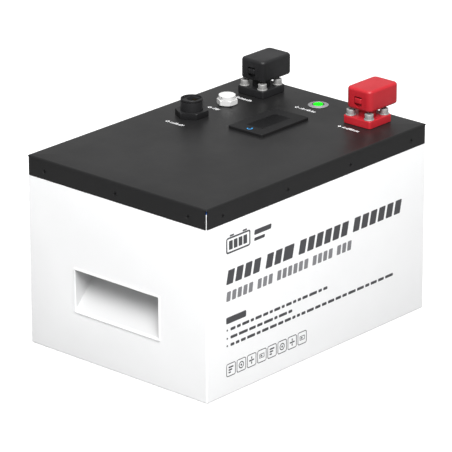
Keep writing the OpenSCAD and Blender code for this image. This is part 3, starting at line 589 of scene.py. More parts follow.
def make_finish(
    name, colour, rough, *, vary=0.12, spread=0.12, metal=0.0, specular=0.5, depth=0.01,
    grain=1200.0, patch=22.0, brushed=None, dust=0.0, rubbed=0.0, coat=0.0, sheen=0.0,
    glow=0.0, deep=None,
):
    """One finish: a base colour with slow patches, fine relief, dust and scuffs, and painted shade where deep
    is given.
    """
    full_name = f"{name}_finish"
    found = bpy.data.materials.get(full_name)
    if found:
        return found
    made = bpy.data.materials.new(full_name)
    made.use_nodes = True
    tree = made.node_tree
    shader = tree.nodes["Principled BSDF"]
    shader.inputs["Metallic"].default_value = metal
    shader.inputs["Specular IOR Level"].default_value = specular
    shader.inputs["Coat Weight"].default_value = coat
    shader.inputs["Coat Roughness"].default_value = 0.12
    shader.inputs["Sheen Weight"].default_value = sheen
    if brushed:
        relief = use_group(tree, "brushed_lines", Scale=brushed, Stretch=0.05)
    else:
        relief = use_group(tree, "fine_grain", Scale=grain, Patch_Scale=patch)
    colour = tuple(colour)
    other = tuple(min(1.0, c * (1.0 - vary)) for c in colour)
    paint = mix_colour(tree, relief.outputs["Tone"], colour, other)
    gloss = mix_value(tree, relief.outputs["Tone"], rough * (1.0 - spread), min(1.0, rough * (1.0 + spread)))
    # deep is painted shade: a darker colour on the parts behind the case's outer face, standing in for the
    # shade inside the handle pans.
    if deep is not None:
        paint = mix_colour(tree, use_group(tree, "set_back").outputs["Mask"], paint, deep)
    if rubbed > 0:
        mark = use_group(tree, "rubbed_marks", Amount=rubbed, Scale=40.0).outputs["Mask"]
        lighter = tuple(min(1.0, c * 1.5 + 0.03) if max(colour) < 0.5 else c * 0.88 for c in colour)
        paint = mix_colour(tree, mark, paint, lighter)
    if dust > 0:
        film = use_group(tree, "settled_dust", Amount=dust, Scale=60.0).outputs["Mask"]
        paint = mix_colour(tree, film, paint, DUST)
    tree.links.new(paint, shader.inputs["Base Color"])
    tree.links.new(gloss, shader.inputs["Roughness"])
    if glow > 0:
        tree.links.new(paint, shader.inputs["Emission Color"])
        shader.inputs["Emission Strength"].default_value = glow
    bump = node(tree, "ShaderNodeBump")
    bump.inputs["Strength"].default_value = 1.0
    bump.inputs["Distance"].default_value = depth * MM
    tree.links.new(relief.outputs["Height"], bump.inputs["Height"])
    tree.links.new(bump.outputs["Normal"], shader.inputs["Normal"])
    return made


def finishes(colour):
    """Every finish of the battery, by its name in the record."""
    return {
        "case_paint": dict(colour=colour.case, rough=0.34, vary=0.015, grain=700.0, depth=0.004,
                           specular=0.4, rubbed=0.05),
        # The pans have the case's own paint; deep darkens their recesses with painted shade.
        "pan_shaded_paint": dict(colour=colour.case, rough=0.45, vary=0.015, grain=700.0, depth=0.004,
                          specular=0.3, deep=(0.55, 0.552, 0.555)),
        "lid_paint": dict(colour=colour.lid, rough=0.36, vary=0.12, grain=1100.0, depth=0.02,
                          patch=14.0, specular=0.26, dust=0.01, spread=0.08),
        "gasket_foam": dict(colour=colour.gasket, rough=0.8, vary=0.3, grain=2200.0, depth=0.08,
                            specular=0.2),
        "grey_foam": dict(colour=(0.16, 0.16, 0.165), rough=0.9, vary=0.3, grain=1600.0, depth=0.15,
                          specular=0.2),
        "zinc_steel": dict(colour=(0.56, 0.57, 0.58), rough=0.36, metal=1.0, vary=0.25, grain=260.0,
                           depth=0.01, spread=0.25),
        "stainless_steel": dict(colour=colour.steel, rough=0.62, metal=0.6, vary=0.12, brushed=1400.0,
                                depth=0.006, dust=0.02),
        "bare_aluminium": dict(colour=(0.75, 0.76, 0.77), rough=0.42, metal=1.0, vary=0.14, brushed=900.0,
                               depth=0.012),
        "cell_wrap": dict(colour=(0.03, 0.13, 0.32), rough=0.38, vary=0.12, grain=500.0, depth=0.02,
                          coat=0.3),
        "insulating_sheet": dict(colour=(0.55, 0.5, 0.38), rough=0.7, vary=0.2, grain=900.0, depth=0.03),
        "copper": dict(colour=(0.86, 0.42, 0.26), rough=0.34, metal=1.0, vary=0.25, brushed=1100.0,
                       depth=0.01),
        "silver_plate": dict(colour=(0.84, 0.83, 0.8), rough=0.24, metal=1.0, vary=0.2, grain=500.0,
                             depth=0.004),
        "gold_plate": dict(colour=(0.9, 0.66, 0.28), rough=0.22, metal=1.0, vary=0.1, grain=600.0,
                           depth=0.003),
        "circuit_board": dict(colour=(0.012, 0.11, 0.045), rough=0.4, vary=0.35, grain=380.0,
                              depth=0.03, coat=0.3),
        "red_insulation": dict(colour=(0.5, 0.02, 0.02), rough=0.46, vary=0.15, grain=700.0, depth=0.02),
        "black_insulation": dict(colour=(0.015, 0.015, 0.016), rough=0.46, vary=0.2, grain=700.0,
                                 depth=0.02),
        "black_rubber": dict(colour=(0.014, 0.014, 0.014), rough=0.7, vary=0.25, grain=1500.0, depth=0.04,
                             specular=0.25),
        "red_plastic": dict(colour=colour.red, rough=0.38, vary=0.1, grain=1500.0, depth=0.004, patch=40.0,
                            specular=0.36, dust=0.006),
        "black_plastic": dict(colour=colour.black, rough=0.4, vary=0.25, grain=1500.0, depth=0.004,
                              patch=40.0, specular=0.26, dust=0.006),
        "port_plastic": dict(colour=(0.017, 0.017, 0.018), rough=0.4, vary=0.25, grain=1400.0, depth=0.004,
                             specular=0.22, dust=0.006),
        "white_plastic": dict(colour=colour.valve, rough=0.4, vary=0.05, grain=1300.0, depth=0.004),
        "membrane": dict(colour=(0.7, 0.7, 0.69), rough=0.85, vary=0.15, grain=4000.0, depth=0.05,
                         sheen=0.2),
        "display_plastic": dict(colour=colour.display, rough=0.5, vary=0.2, grain=1800.0, depth=0.003,
                                specular=0.1, dust=0.004),
        "smoked_window": dict(colour=(0.0065, 0.0065, 0.007), rough=0.3, vary=0.2, grain=600.0, depth=0.001,
                              specular=0.05),
        "blue_key": dict(colour=colour.key, rough=0.4, vary=0.08, grain=2000.0, depth=0.004, glow=0.35),
        "green_lens": dict(colour=colour.lamp, rough=0.5, vary=0.05, grain=2000.0, depth=0.002, glow=0.7,
                           specular=0.2),
        "label_ink": dict(colour=colour.ink, rough=0.5, vary=0.1, grain=1800.0, depth=0.004, specular=0.3),
        "lid_ink": dict(colour=colour.lid_ink, rough=0.5, vary=0.06, grain=1800.0, depth=0.006,
                        specular=0.3),
        "switch_metal": dict(colour=colour.ring, rough=0.5, metal=0.8, vary=0.12, brushed=1500.0,
                             depth=0.004),
        "soft_grey_ink": dict(colour=(0.2, 0.2, 0.21), rough=0.5, vary=0.1, grain=1800.0,
                              depth=0.004, specular=0.3),
    }


def finish(name):
    return make_finish(name, **finishes(bpy.context.scene.battery.colour)[name])


# ---- repeated pieces ----


def repeat_tree():
    """Puts one part on every point of a grid of rows and columns."""
    name = "repeat_on_grid"
    found = bpy.data.node_groups.get(name)
    if found:
        return found
    tree = bpy.data.node_groups.new(name, "GeometryNodeTree")
    for label, kind in (
        ("Part", "NodeSocketObject"),
        ("Columns", "NodeSocketInt"),
        ("Rows", "NodeSocketInt"),
        ("Width", "NodeSocketFloat"),
        ("Depth", "NodeSocketFloat"),
        ("Centre", "NodeSocketVector"),
        ("Turn", "NodeSocketVector"),
        ("Finish", "NodeSocketMaterial"),
    ):
        tree.interface.new_socket(label, in_out="INPUT", socket_type=kind)
    tree.interface.new_socket("Geometry", in_out="OUTPUT", socket_type="NodeSocketGeometry")
    start = tree.nodes.new("NodeGroupInput")
    end = tree.nodes.new("NodeGroupOutput")
    grid = tree.nodes.new("GeometryNodeMeshGrid")
    shift = tree.nodes.new("GeometryNodeTransform")
    part = tree.nodes.new("GeometryNodeObjectInfo")
    put = tree.nodes.new("GeometryNodeInstanceOnPoints")
    real = tree.nodes.new("GeometryNodeRealizeInstances")
    dress = tree.nodes.new("GeometryNodeSetMaterial")
    for source, sink in (
        (start.outputs["Width"], grid.inputs["Size X"]),
        (start.outputs["Depth"], grid.inputs["Size Y"]),
        (start.outputs["Columns"], grid.inputs["Vertices X"]),
        (start.outputs["Rows"], grid.inputs["Vertices Y"]),
        (grid.outputs["Mesh"], shift.inputs["Geometry"]),
        (start.outputs["Centre"], shift.inputs["Translation"]),
        (shift.outputs["Geometry"], put.inputs["Points"]),
        (start.outputs["Part"], part.inputs["Object"]),
        (part.outputs["Geometry"], put.inputs["Instance"]),
        (start.outputs["Turn"], put.inputs["Rotation"]),
        (put.outputs["Instances"], real.inputs["Geometry"]),
        (real.outputs["Geometry"], dress.inputs["Geometry"]),
        (start.outputs["Finish"], dress.inputs["Material"]),
        (dress.outputs["Geometry"], end.inputs["Geometry"]),
    ):
        tree.links.new(source, sink)
    return tree


def repeat(name, part, columns, rows, width, depth, centre, turn, material):
    """A plain mesh of one part repeated on a grid."""
    tree = repeat_tree()
    thing = linked(name, bpy.data.meshes.new(name))
    step = thing.modifiers.new("repeat", "NODES")
    step.node_group = tree
    values = {
        "Part": part, "Columns": columns, "Rows": rows, "Width": width, "Depth": depth,
        "Centre": Vector(centre), "Turn": Vector(turn), "Finish": material,
    }
    for item in tree.interface.items_tree:
        if item.item_type == "SOCKET" and item.in_out == "INPUT":
            step[item.identifier] = values[item.name]
    return apply_modifiers(thing)


# ---- printed shapes ----


def bar(low, high, slant=0.0, corner=0.3):
    """A leaning bar with rounded corners, as (u, v) points."""
    (u0, v0), (u1, v1) = low, high
    lean = slant * (v1 - v0)
    corners = [(u0, v0, corner), (u1, v0, corner), (u1 + lean, v1, corner), (u0 + lean, v1, corner)]
    return fillet(corners, 3, closed=True)


def disc(centre, radius, count=28):
    return [polar(centre, radius, math.tau * k / count) for k in range(count)]


def arc_band(centre, radius, width, start, end, count=22):
    """A curved stroke from one angle to another, in degrees."""
    turns = [math.radians(start + (end - start) * k / count) for k in range(count + 1)]
    outer = [polar(centre, radius + width / 2, t) for t in turns]
    inner = [polar(centre, radius - width / 2, t) for t in reversed(turns)]
    return outer + inner


def printed(name, shapes, lay, low, high):
    """Raises flat shapes from low to high over a face; lay turns (u, v, height) into a place."""
    mesh = bmesh.new()
    for shape in shapes:
        if isinstance(shape, tuple):
            outer, inner = shape
            loops = [[lay(u, v, h) for u, v in points]
                     for points, h in ((outer, low), (outer, high), (inner, high), (inner, low))]
            add_skin(mesh, loops, wrap=True)
        else:
            add_skin(mesh, [[lay(u, v, h) for u, v in shape] for h in (low, high)])
    clean(mesh)
    return mesh_object(name, mesh)


def outline(low, high, corner, stroke):
    """A rounded frame as an outer and an inner loop."""
    inner = bar((low[0] + stroke, low[1] + stroke), (high[0] - stroke, high[1] - stroke), 0.0,
                max(corner - stroke, 0.1 * MM))
    return (bar(low, high, 0.0, corner), inner)


def word_bars(start, end, low, high, slant, sizes, gap, space):
    """Groups of leaning bars that fill a printed row from start to end."""
    shapes = []
    across = start
    k = 0
    while True:
        for width in sizes[k % len(sizes)]:
            if across + width > end:
                return shapes
            shapes.append(bar((across, low), (across + width, high), slant, 0.9 * MM))
            across += width + gap
        across += space
        k += 1


# ---- pieces ----


class BATTERY_OT_case(bpy.types.Operator):
    """Builds the folded case with its step, its hand windows and its pans"""

    bl_idname = "battery.case"
    bl_label = "Case"

    def execute(self, context):
        size = context.scene.battery.case
        half_x = -CASE_LOW.x - size.paint
        half_y = -CASE_LOW.y - size.paint
        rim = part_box("lid_gasket")[1]
        step_x = half_x - rim.x
        ledge = LID_LOW.z - 0.4 * MM
        wall, bend = size.wall, size.bend
        profile = fillet([
            (20 * MM, 0.0, 0.0),
            (0.0, 0.0, bend),
            (0.0, ledge, size.step_round),
            (step_x, ledge, 0.2 * MM),
            (step_x, CASE_HIGH.z, 0.3 * MM),
            (step_x + wall, CASE_HIGH.z, 0.3 * MM),
            (step_x + wall, ledge - wall, 0.0),
            (wall, ledge - wall, 0.0),
            (wall, wall, bend - wall / 2),
            (20 * MM, wall, 0.0),
        ], 5)
        loops = [rectangle(half_x - inset, half_y - inset, max(bend - inset, 0.5 * MM), z, steps=6)
                 for inset, z in profile]
        case = skin("case_shell_folded", loops)
        cutters = []
        for side, pan in ((-1, "handle_pan_left"), (1, "handle_pan_right")):
            low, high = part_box(pan)
            inner = 0.4 * MM
            xs = sorted((side * (half_x + 5 * MM), side * (half_x - 4 * MM)))
            cutters.append(box("window", (xs[0], low.y + inner, low.z + inner),
                               (xs[1], high.y - inner, high.z - inner)))
        seam = bend * (1 - math.sqrt(0.5))
        for sx, sy in CORNERS:
            spot = (sx * (half_x - seam), sy * (half_y - seam))
            cutters.append(rod("seam", 0.45 * MM, 4 * MM, ledge - 2 * MM, spot, 12))
        carve(case, cutters, apart=True)
        settle(case, "case_paint", "battery", "case_shell")
        for side, word in ((-1, "left"), (1, "right")):
            pan = self.pan(f"hand_pan_{word}", f"handle_pan_{word}", side, size)
            # The pans' finish darkens their recesses with painted shade.
            settle(pan, "case_paint", "battery", f"handle_pan_{word}", paint="pan_shaded_paint")
        gasket_low, gasket_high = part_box("lid_gasket")
        rows = fillet([
            (0.0, gasket_low.z, 0.0), (-0.1 * MM, (gasket_low.z + gasket_high.z) / 2, 1.0 * MM),
            (0.0, gasket_high.z, 0.0), (5 * MM, gasket_high.z, 0.0), (5 * MM, gasket_low.z, 0.0),
        ], 3)
        gasket = skin("lid_gasket_strip", [
            rectangle(gasket_high.x - max(u, 0.0), gasket_high.y - max(u, 0.0), 0.8 * MM, v) for u, v in rows
        ], wrap=True)
        settle(gasket, "gasket_foam", "battery", "lid_gasket")
        return {"FINISHED"}

    def pan(self, name, node_name, side, size):
        """A pressed pan whose floor climbs from the foot of the opening to its deep upper edge."""
        low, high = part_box(node_name)
        rim, sheet, edge = 1.7 * MM, 0.8 * MM, size.pan_edge
        face = high.x if side > 0 else -low.x
        wall = -CASE_LOW.x
        deep = 36 * MM
        foot, top, wide = low.z + rim, high.z - rim, high.y - rim
        slope = math.hypot(top - foot, deep)
        under = sheet * slope / deep
        beyond = sheet * (slope + deep) / (top - foot)

        def loop(x, y, z0, z1, corner):
            points = rectangle(y, (z1 - z0) / 2, corner, side * x, (0.0, (z0 + z1) / 2), 4)
            return [Vector((p.z, p.x, p.y)) for p in points]

        def step(x, grow, corner):
            return loop(x, wide + grow, foot - grow, top + grow, corner)

        loops = [
            loop(wall - deep - beyond, wide + sheet, top + sheet - 0.02 * MM, top + sheet, 0.0),
            loop(wall, wide + sheet, foot - under, top + sheet, 0.6 * MM),
            step(wall, rim, 1.4 * MM),
        ]
        for k in range(4):
            turn = math.pi / 2 * k / 3
            outward = face - edge * (1 - math.sin(turn))
            loops.append(step(outward, rim - edge * (1 - math.cos(turn)), 1.4 * MM))
        for k in range(4):
            turn = math.pi / 2 * k / 3
            loops.append(step(face - edge * (1 - math.cos(turn)), edge * (1 - math.sin(turn)), 0.7 * MM))
        for k in range(13):
            share = k / 12
            corner = 0.6 * MM * (1 - share)
            sill = foot + (top - 0.02 * MM - foot) * share
            loops.append(loop(wall - deep * share, wide, sill, top, corner))
        return skin(name, loops)


class BATTERY_OT_lid(bpy.types.Operator):
    """Builds the folded lid with its corner notches, and the holes for its fittings and screws"""

    bl_idname = "battery.lid"
    bl_label = "Lid"

    def execute(self, context):
        size = context.scene.battery.lid
        sheet, bend = size.sheet, size.bend
        low, top = LID_LOW.z, LID_TOP
        profile = fillet([
            (0.0, low, 0.15 * MM), (0.0, top, bend), (25 * MM, top, 0.0),
            (25 * MM, top - sheet, 0.0), (sheet, top - sheet, bend - sheet * 0.7), (sheet, low, 0.15 * MM),
        ], 6, closed=True)
        split = next(i for i, (u, v) in enumerate(profile) if u > 20 * MM) + 1
        lid = skin("lid_folded", [
            rectangle(HALF_LENGTH - u, HALF_WIDTH - u, 0.25 * MM, v, steps=3)
            for u, v in profile[:split][::-1] + profile[split:][::-1]
        ])
        cutters = []
        notch = sheet + size.relief
        gap = sheet + 0.5 * MM
        for sx, sy in CORNERS:
            xs = sorted((sx * (HALF_LENGTH + MM), sx * (HALF_LENGTH - gap)))
            ys = sorted((sy * (HALF_WIDTH + MM), sy * (HALF_WIDTH - gap)))
            cutters.append(box("notch", (xs[0], ys[0], low - MM), (xs[1], ys[1], top - notch)))
        for node_name, radius in (("port_shell", 11.3), ("vent_body", 6.2), ("switch_barrel", 8.2),
                                  ("positive_receptacle", 9.5), ("negative_receptacle", 9.5)):
            cutters.append(rod("hole", radius * MM, top - 3 * MM, top + 3 * MM, axis_of(node_name)))
        mid = middle("display_bezel")
        wide, deep = 30.2 * MM, 17.2 * MM
        cutters.append(box("hole", (mid.x - wide, mid.y - deep, top - 3 * MM),
                           (mid.x + wide, mid.y + deep, top + 3 * MM)))
        screws, holes = self.screw_rows(size)
        carve(lid, cutters + holes, apart=True)
        settle(lid, "lid_paint", "battery", "lid")
        row = join("lid_screw_heads", screws)
        settle(row, "lid_paint", "battery", "lid_screws", degrees=30)
        return {"FINISHED"}

    def screw_rows(self, size):
        radius = size.screw_head / 2
        flat = 0.05 * MM
        profile = fillet([
            (0.0, -9 * MM, 0.0), (1.5 * MM, -9 * MM, 0.2 * MM), (1.5 * MM, -1.35 * MM, 0.0),
            (radius - 0.1 * MM, -flat - 0.25 * MM, 0.1 * MM), (radius - 0.25 * MM, -flat, 0.15 * MM),
            (0.0, -flat, 0.0),
        ], 3)
        screw = lathe("lid_screw", profile, ORIGIN, count=36)
        arm, width = radius * 0.62, size.screw_cross / 2
        carve(screw, [
            box("cross", (-arm, -width, -1.2 * MM), (arm, width, MM)),
            box("cross", (-width, -arm, -1.2 * MM), (width, arm, MM)),
        ])
        sink = lathe("sink", [(1.7 * MM, -4 * MM), (1.7 * MM, -1.2 * MM), (radius, 0.0), (radius, MM)],
                     ORIGIN, count=36)
        z = middle("lid_screws").z
        span_x, span_y = 274.6 * MM, 183.2 * MM
        quarter = math.pi / 2
        rows = [
            (size.screws_long, 1, span_x, 0.0, (0.0, -HALF_WIDTH, z), (quarter, 0.0, 0.0)),
            (size.screws_long, 1, span_x, 0.0, (0.0, HALF_WIDTH, z), (-quarter, 0.0, 0.0)),
            (1, size.screws_short, 0.0, span_y, (-HALF_LENGTH, 0.0, z), (0.0, -quarter, 0.0)),
            (1, size.screws_short, 0.0, span_y, (HALF_LENGTH, 0.0, z), (0.0, quarter, 0.0)),
        ]
        paint = finish("lid_paint")
        screws = [repeat("row", screw, *row, paint) for row in rows]
        holes = [repeat("holes", sink, *row, paint) for row in rows]
        for tool in (screw, sink):
            bpy.data.objects.remove(tool)
        return screws, holes


class BATTERY_OT_terminals(bpy.types.Operator):
    """Builds the terminal bases with their posts, and the screws and washers that hold them"""

    bl_idname = "battery.terminals"
    bl_label = "Terminals"

    def execute(self, context):
        size = context.scene.battery.terminal
        base_top = LID_TOP + 8 * MM
        for sign, colour in SIGNS.items():
            post_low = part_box(f"{sign}_receptacle")[0].z
            centre = axis_of(f"{sign}_receptacle")
            half = size.base / 2
            edge = size.base_round
            rows = fillet([
                (0.0, LID_TOP + 0.6 * MM, 0.3 * MM), (0.0, base_top, edge), (8.4 * MM, base_top, 0.5 * MM),
            ], 4)
            rows = [(0.3 * MM, LID_TOP + 0.6 * MM)] + rows
            plinth = skin("plinth", [
                rectangle(half - u, half - u, max(2.6 * MM - u, 0.3 * MM), v, centre, 7) for u, v in rows
            ])
            top = LID_TOP + 25 * MM
            post = lathe("post", fillet([
                (PIN_BORE, post_low, 0.0), (9.3 * MM, post_low, 0.3 * MM), (9.3 * MM, LID_TOP - MM, 0.0),
                (POST_RADIUS, LID_TOP + 2 * MM, 0.0), (POST_RADIUS, base_top + 0.8 * MM, 0.0),
                (POST_RADIUS, top, 0.7 * MM), (6.6 * MM, top, 0.5 * MM), (6.6 * MM, base_top + 2 * MM, 0.0),
                (PIN_BORE, base_top + 2 * MM, 0.0),
            ], 4), centre, wrap=True, count=72)
            carve(plinth, [post], "UNION")
            holes = []
            for sx, sy in CORNERS:
                spot = (centre[0] + sx * size.pitch / 2, centre[1] + sy * size.pitch / 2)
                holes.append(rod("hole", 2.7 * MM, LID_TOP - 2 * MM, base_top + MM, spot, 24))
            holes.append(rod("bore", PIN_BORE, LID_TOP - 20 * MM, top + MM, centre))
            carve(plinth, holes)
            plinth.name = f"{sign}_terminal_base"
            settle(plinth, f"{colour}_plastic", "battery", f"{sign}_receptacle")
        self.screws(size, base_top)
        return {"FINISHED"}

    def screws(self, size, base_top):
        radius = size.head / 2
        foot, top = 0.0, size.head_height
        funnel = [(1.8 * MM, top - 0.35 * MM), (2.75 * MM, top + 0.3 * MM)]
        screw = lathe("terminal_screw", fillet([
            (0.0, -10 * MM, 0.0), (2.45 * MM, -10 * MM, 0.4 * MM), (2.45 * MM, foot, 0.0),
            (radius, foot, 0.15 * MM), (radius, top, 0.45 * MM), (0.0, top, 0.0),
        ], 4), ORIGIN, count=48)
        socket = skin("socket", [hexagon(size.socket, z, count=24) for z in (top - 2.5 * MM, top + MM)])
        lead_in = lathe("lead_in", funnel, ORIGIN, count=32)
        carve(screw, [socket, lead_in])
        washer = lathe("washer", fillet([
            (2.65 * MM, 0.0, 0.1 * MM), (size.washer / 2, 0.0, 0.2 * MM),
            (size.washer / 2, size.washer_height, 0.3 * MM), (2.65 * MM, size.washer_height, 0.1 * MM),
        ], 3, closed=True), ORIGIN, wrap=True, count=40)
        steel = finish("stainless_steel")
        heads, washers = [], []
        for sign in SIGNS:
            x, y = axis_of(f"{sign}_receptacle")
            grid = (2, 2, size.pitch, size.pitch)
            seat = base_top + size.washer_height
            heads.append(repeat("heads", screw, *grid, (x, y, seat), (0, 0, 0.3), steel))
            washers.append(repeat("washers", washer, *grid, (x, y, base_top), (0, 0, 0), steel))
        for tool in (screw, washer):
            bpy.data.objects.remove(tool)
        settle(join("terminal_screw_heads", heads), "stainless_steel", "battery", "receptacle_screws")
        settle(join("terminal_washers", washers), "stainless_steel", "battery", "receptacle_washers")


class BATTERY_OT_plugs(bpy.types.Operator):
    """Builds the two angled cable plugs with their latch buttons"""

    bl_idname = "battery.plugs"
    bl_label = "Cable plugs"

    def execute(self, context):
        size = context.scene.battery.terminal
        for sign, colour in SIGNS.items():
            centre = axis_of(f"{sign}_receptacle")
            low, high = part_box(f"{sign}_plug_housing")
            body = self.shell(size, low, high)
            self.hollow(body, centre, low, high)
            body.name = f"{sign}_plug_shell"
            plastic = f"{colour}_plastic"
            settle(body, plastic, f"{sign}_plug", f"{sign}_plug_housing", degrees=30)
            button = self.button(f"{sign}_release_button", f"{sign}_latch_button", low, centre[1])
            settle(button, plastic, f"{sign}_release", f"{sign}_release_button")
        return {"FINISHED"}

    def shell(self, size, low, high):
        corner = size.plug_round
        mid, half = (low + high) / 2, (high - low) / 2
        rows = fillet([
            (6 * MM, low.z, 0.0), (0.0, low.z, size.plug_foot), (0.0, high.z, size.plug_crown),
            (6 * MM, high.z, 0.0),
        ], 8)
        loops = [rectangle(half.x - u, half.y - u, max(corner - u * 0.98, 0.05 * MM), v, (mid.x, mid.y), 8)
                 for u, v in rows]
        return skin("plug", loops)

    def button(self, node_name, name, plug_low, y):
        """The latch with its pad cut back to a rounded lip with a small hole in its top."""
        low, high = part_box(node_name)
        latch = copy_of(node_name, name)
        behind, top = plug_low.x + 3 * MM, high.z - 0.5 * MM
        foot = plug_low.z + 7.4 * MM
        carve(latch, [box("pad", (low.x - MM, y - 6 * MM, low.z - MM),
                          (plug_low.x + 2.4 * MM, y + 6 * MM, high.z + MM))])
        soften(latch, 0.3 * MM, 2, 50)
        reach = (behind - low.x) / 2
        rows = fillet([(MM, foot, 0.0), (0.0, foot, 0.5 * MM), (0.0, top, 0.6 * MM), (MM, top, 0.0)], 4)
        lip = skin("lip", [
            rectangle(reach - u, 4.3 * MM - u, 1.8 * MM - u, v, (low.x + reach, y), 7) for u, v in rows
        ])
        hole = skin("hole", [
            rectangle(MM, 2.2 * MM, 0.99 * MM, v, (low.x + 1.9 * MM, y), 6) for v in (top - 4 * MM, top + MM)
        ])
        carve(lip, [hole])
        carve(latch, [lip], "UNION")
        return latch

    def hollow(self, body, centre, low, high):
        """Takes out the mouth, the cable duct and the latch slot."""
        x, y = centre
        cable = low.z + (high.z - low.z) / 2
        bore, roof = 11.35 * MM, high.z - 4 * MM
        mouth = lathe("mouth", fillet([
            (0.0, low.z - MM, 0.0), (12.0 * MM, low.z - MM, 0.0), (12.0 * MM, low.z, 0.0),
            (bore, low.z + 0.5 * MM, 0.0), (bore, roof, 0.8 * MM), (0.0, roof, 0.0),
        ], 3), centre, count=64)
        duct = lathe("duct", [(7.6 * MM, 6 * MM), (7.6 * MM, 30.0 * MM), (8.4 * MM, 30.6 * MM)], ORIGIN)
        place(duct, Matrix.Translation((x, y, cable)) @ Matrix.Rotation(math.pi / 2, 4, "Y"))
        cutters = [mouth, duct]
        face = low.x
        tip, shoulder, top = low.z + 2.6 * MM, low.z + 5.2 * MM, low.z + 13.9 * MM
        half = 4.7 * MM
        shield = [(-half, top), (-half, shoulder), (0.0, tip), (half, shoulder), (half, top)]
        shield = [(u, v, 0.9 * MM if v < top else 0.5 * MM) for u, v in shield]
        rounded = fillet(shield, 4, closed=True)
        cutters.append(skin("shield", [
            [Vector((at, y + u, v)) for u, v in rounded] for at in (face - 2 * MM, face + 2.6 * MM)
        ]))
        for k in range(5):
            mark = low.z + (4.4 + 2.1 * k) * MM
            cutters.append(box("tick", (face - MM, y - 9.2 * MM, mark),
                               (face + 0.3 * MM, y - 7.6 * MM, mark + 0.7 * MM)))
        cutters.append(box("window", (face + 2.5 * MM, y - 4.5 * MM, low.z + 7.2 * MM),
                           (x - 8.9 * MM, y + 4.5 * MM, low.z + 13.1 * MM)))
        slot = low.z + 3.1 * MM
        cutters.append(box("slot", (face + 2.5 * MM, y - 10.7 * MM, slot - 0.2 * MM),
                           (x + 12.8 * MM, y + 10.7 * MM, slot + 2.0 * MM)))
        carve(body, cutters)


class BATTERY_OT_display(bpy.types.Operator):
    """Builds the display plate, its smoked window and the lit touch mark"""

    bl_idname = "battery.display"
    bl_label = "Display"

    def execute(self, context):
        size = context.scene.battery.fitting
        low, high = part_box("display_bezel")
        centre = axis_of("display_bezel")
        half = (high - low) / 2
        wide, deep = 20.75 * MM, 10.0 * MM
        top = high.z
        edge = size.bezel_edge
        outer = fillet([(0.0, LID_TOP, 0.0), (0.0, top, edge), (3 * MM, top, 0.0)], 4)
        loops = [rectangle(half.x - u, half.y - u, max(size.bezel_corner - u, 0.2 * MM), v, centre, 7)
                 for u, v in outer]
        opening = axis_of("display_window")
        for grow, z in ((0.3 * MM, top), (0.0, top - 0.3 * MM), (0.0, LID_TOP + 0.2 * MM)):
            loops.append(rectangle(wide + grow, deep + grow, 0.9 * MM, z, opening, 7))
        under = LID_TOP - 5 * MM
        for inset, corner, z in ((5.2 * MM, 1 * MM, LID_TOP + 0.2 * MM), (5.2 * MM, 1 * MM, under),
                                 (5 * MM, 1.2 * MM, under), (5 * MM, 1.2 * MM, LID_TOP)):
            loops.append(rectangle(half.x - inset, half.y - inset, corner, z, centre, 7))
        bezel = skin("display_plate", loops, wrap=True)
        settle(bezel, "display_plastic", "battery", "display_bezel")
        pane_top = top - 0.25 * MM
        pane = skin("display_pane", [
            rectangle(wide - 0.05 * MM - u, deep - 0.05 * MM - u, 0.8 * MM, v, opening, 6)
            for u, v in ((0.0, pane_top - 1.2 * MM), (0.0, pane_top - 0.1 * MM), (0.1 * MM, pane_top))
        ])
        settle(pane, "smoked_window", "battery", "display_window")
        ring = arc_band(axis_of("touch_key"), size.key_ring, size.key_stroke, 110, 340)
        lit = printed("touch_mark", [ring], lambda u, v, h: Vector((u, v, top + h)), -0.2 * MM, 0.04 * MM)
        settle(lit, "blue_key", "battery", "touch_key")
        return {"FINISHED"}


class BATTERY_OT_port(bpy.types.Operator):
    """Builds the round data port with its hexagonal lock nut and keyed socket"""

    bl_idname = "battery.port"
    bl_label = "Data port"

    def execute(self, context):
        size = context.scene.battery.fitting
        low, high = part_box("port_shell")
        centre = axis_of("port_shell")
        radius, bore = 11.1 * MM, 9.6 * MM
        top = high.z
        nut_low, nut_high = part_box("port_nut")
        groove = radius - 0.6 * MM
        profile = fillet([
            (bore, low.z, 0.0), (radius - 0.5 * MM, low.z, 0.3 * MM),
            (radius - 0.5 * MM, LID_TOP - 4 * MM, 0.0),
            (radius + 3 * MM, LID_TOP - 4 * MM, 0.2 * MM), (radius + 3 * MM, LID_TOP - 2.2 * MM, 0.2 * MM),
            (radius - 0.2 * MM, LID_TOP - 2.2 * MM, 0.0), (radius - 0.2 * MM, nut_high.z + 0.2 * MM, 0.0),
            (radius, nut_high.z + 0.3 * MM, 0.0),
            (radius, top - 2.8 * MM, 0.1 * MM), (groove, top - 2.75 * MM, 0.15 * MM),
            (groove, top - 2.05 * MM, 0.15 * MM), (radius, top - 2 * MM, 0.1 * MM),
            (radius, top, 0.5 * MM), (bore, top, 0.3 * MM),
        ], 3, closed=True)
        barrel = lathe("port_barrel", profile, centre, wrap=True, count=96)
        settle(barrel, "port_plastic", "battery", "port_shell")
        flats = 29.1 * MM
        reach = flats / math.sqrt(3)
        chamfer = size.nut_chamfer
        loops = [hexagon(flats - 0.4 * MM, nut_low.z, centre, reach, 96),
                 hexagon(flats, nut_low.z + 0.3 * MM, centre, reach, 96),
                 hexagon(flats, nut_high.z - chamfer * 0.55, centre, reach, 96)]
        for k in range(1, 5):
            loops.append(hexagon(flats, nut_high.z - chamfer * 0.55 * (1 - k / 4), centre,
                                 reach - chamfer * k / 4, 96))
        for reach, z in ((flats / 2 - 0.5 * MM, nut_high.z), (radius + 0.1 * MM, nut_high.z),
                         (radius - 0.15 * MM, nut_high.z - 0.3 * MM), (radius - 0.15 * MM, nut_low.z)):
            loops.append(circle(reach, z, centre, 96))
        nut = skin("port_lock_nut", loops, wrap=True)
        settle(nut, "port_plastic", "battery", "port_nut")
        core = soften(copy_of("port_insert", "port_core"), 0.25 * MM, 2, 50)
        settle(core, "port_plastic", "battery", "port_insert")
        return {"FINISHED"}


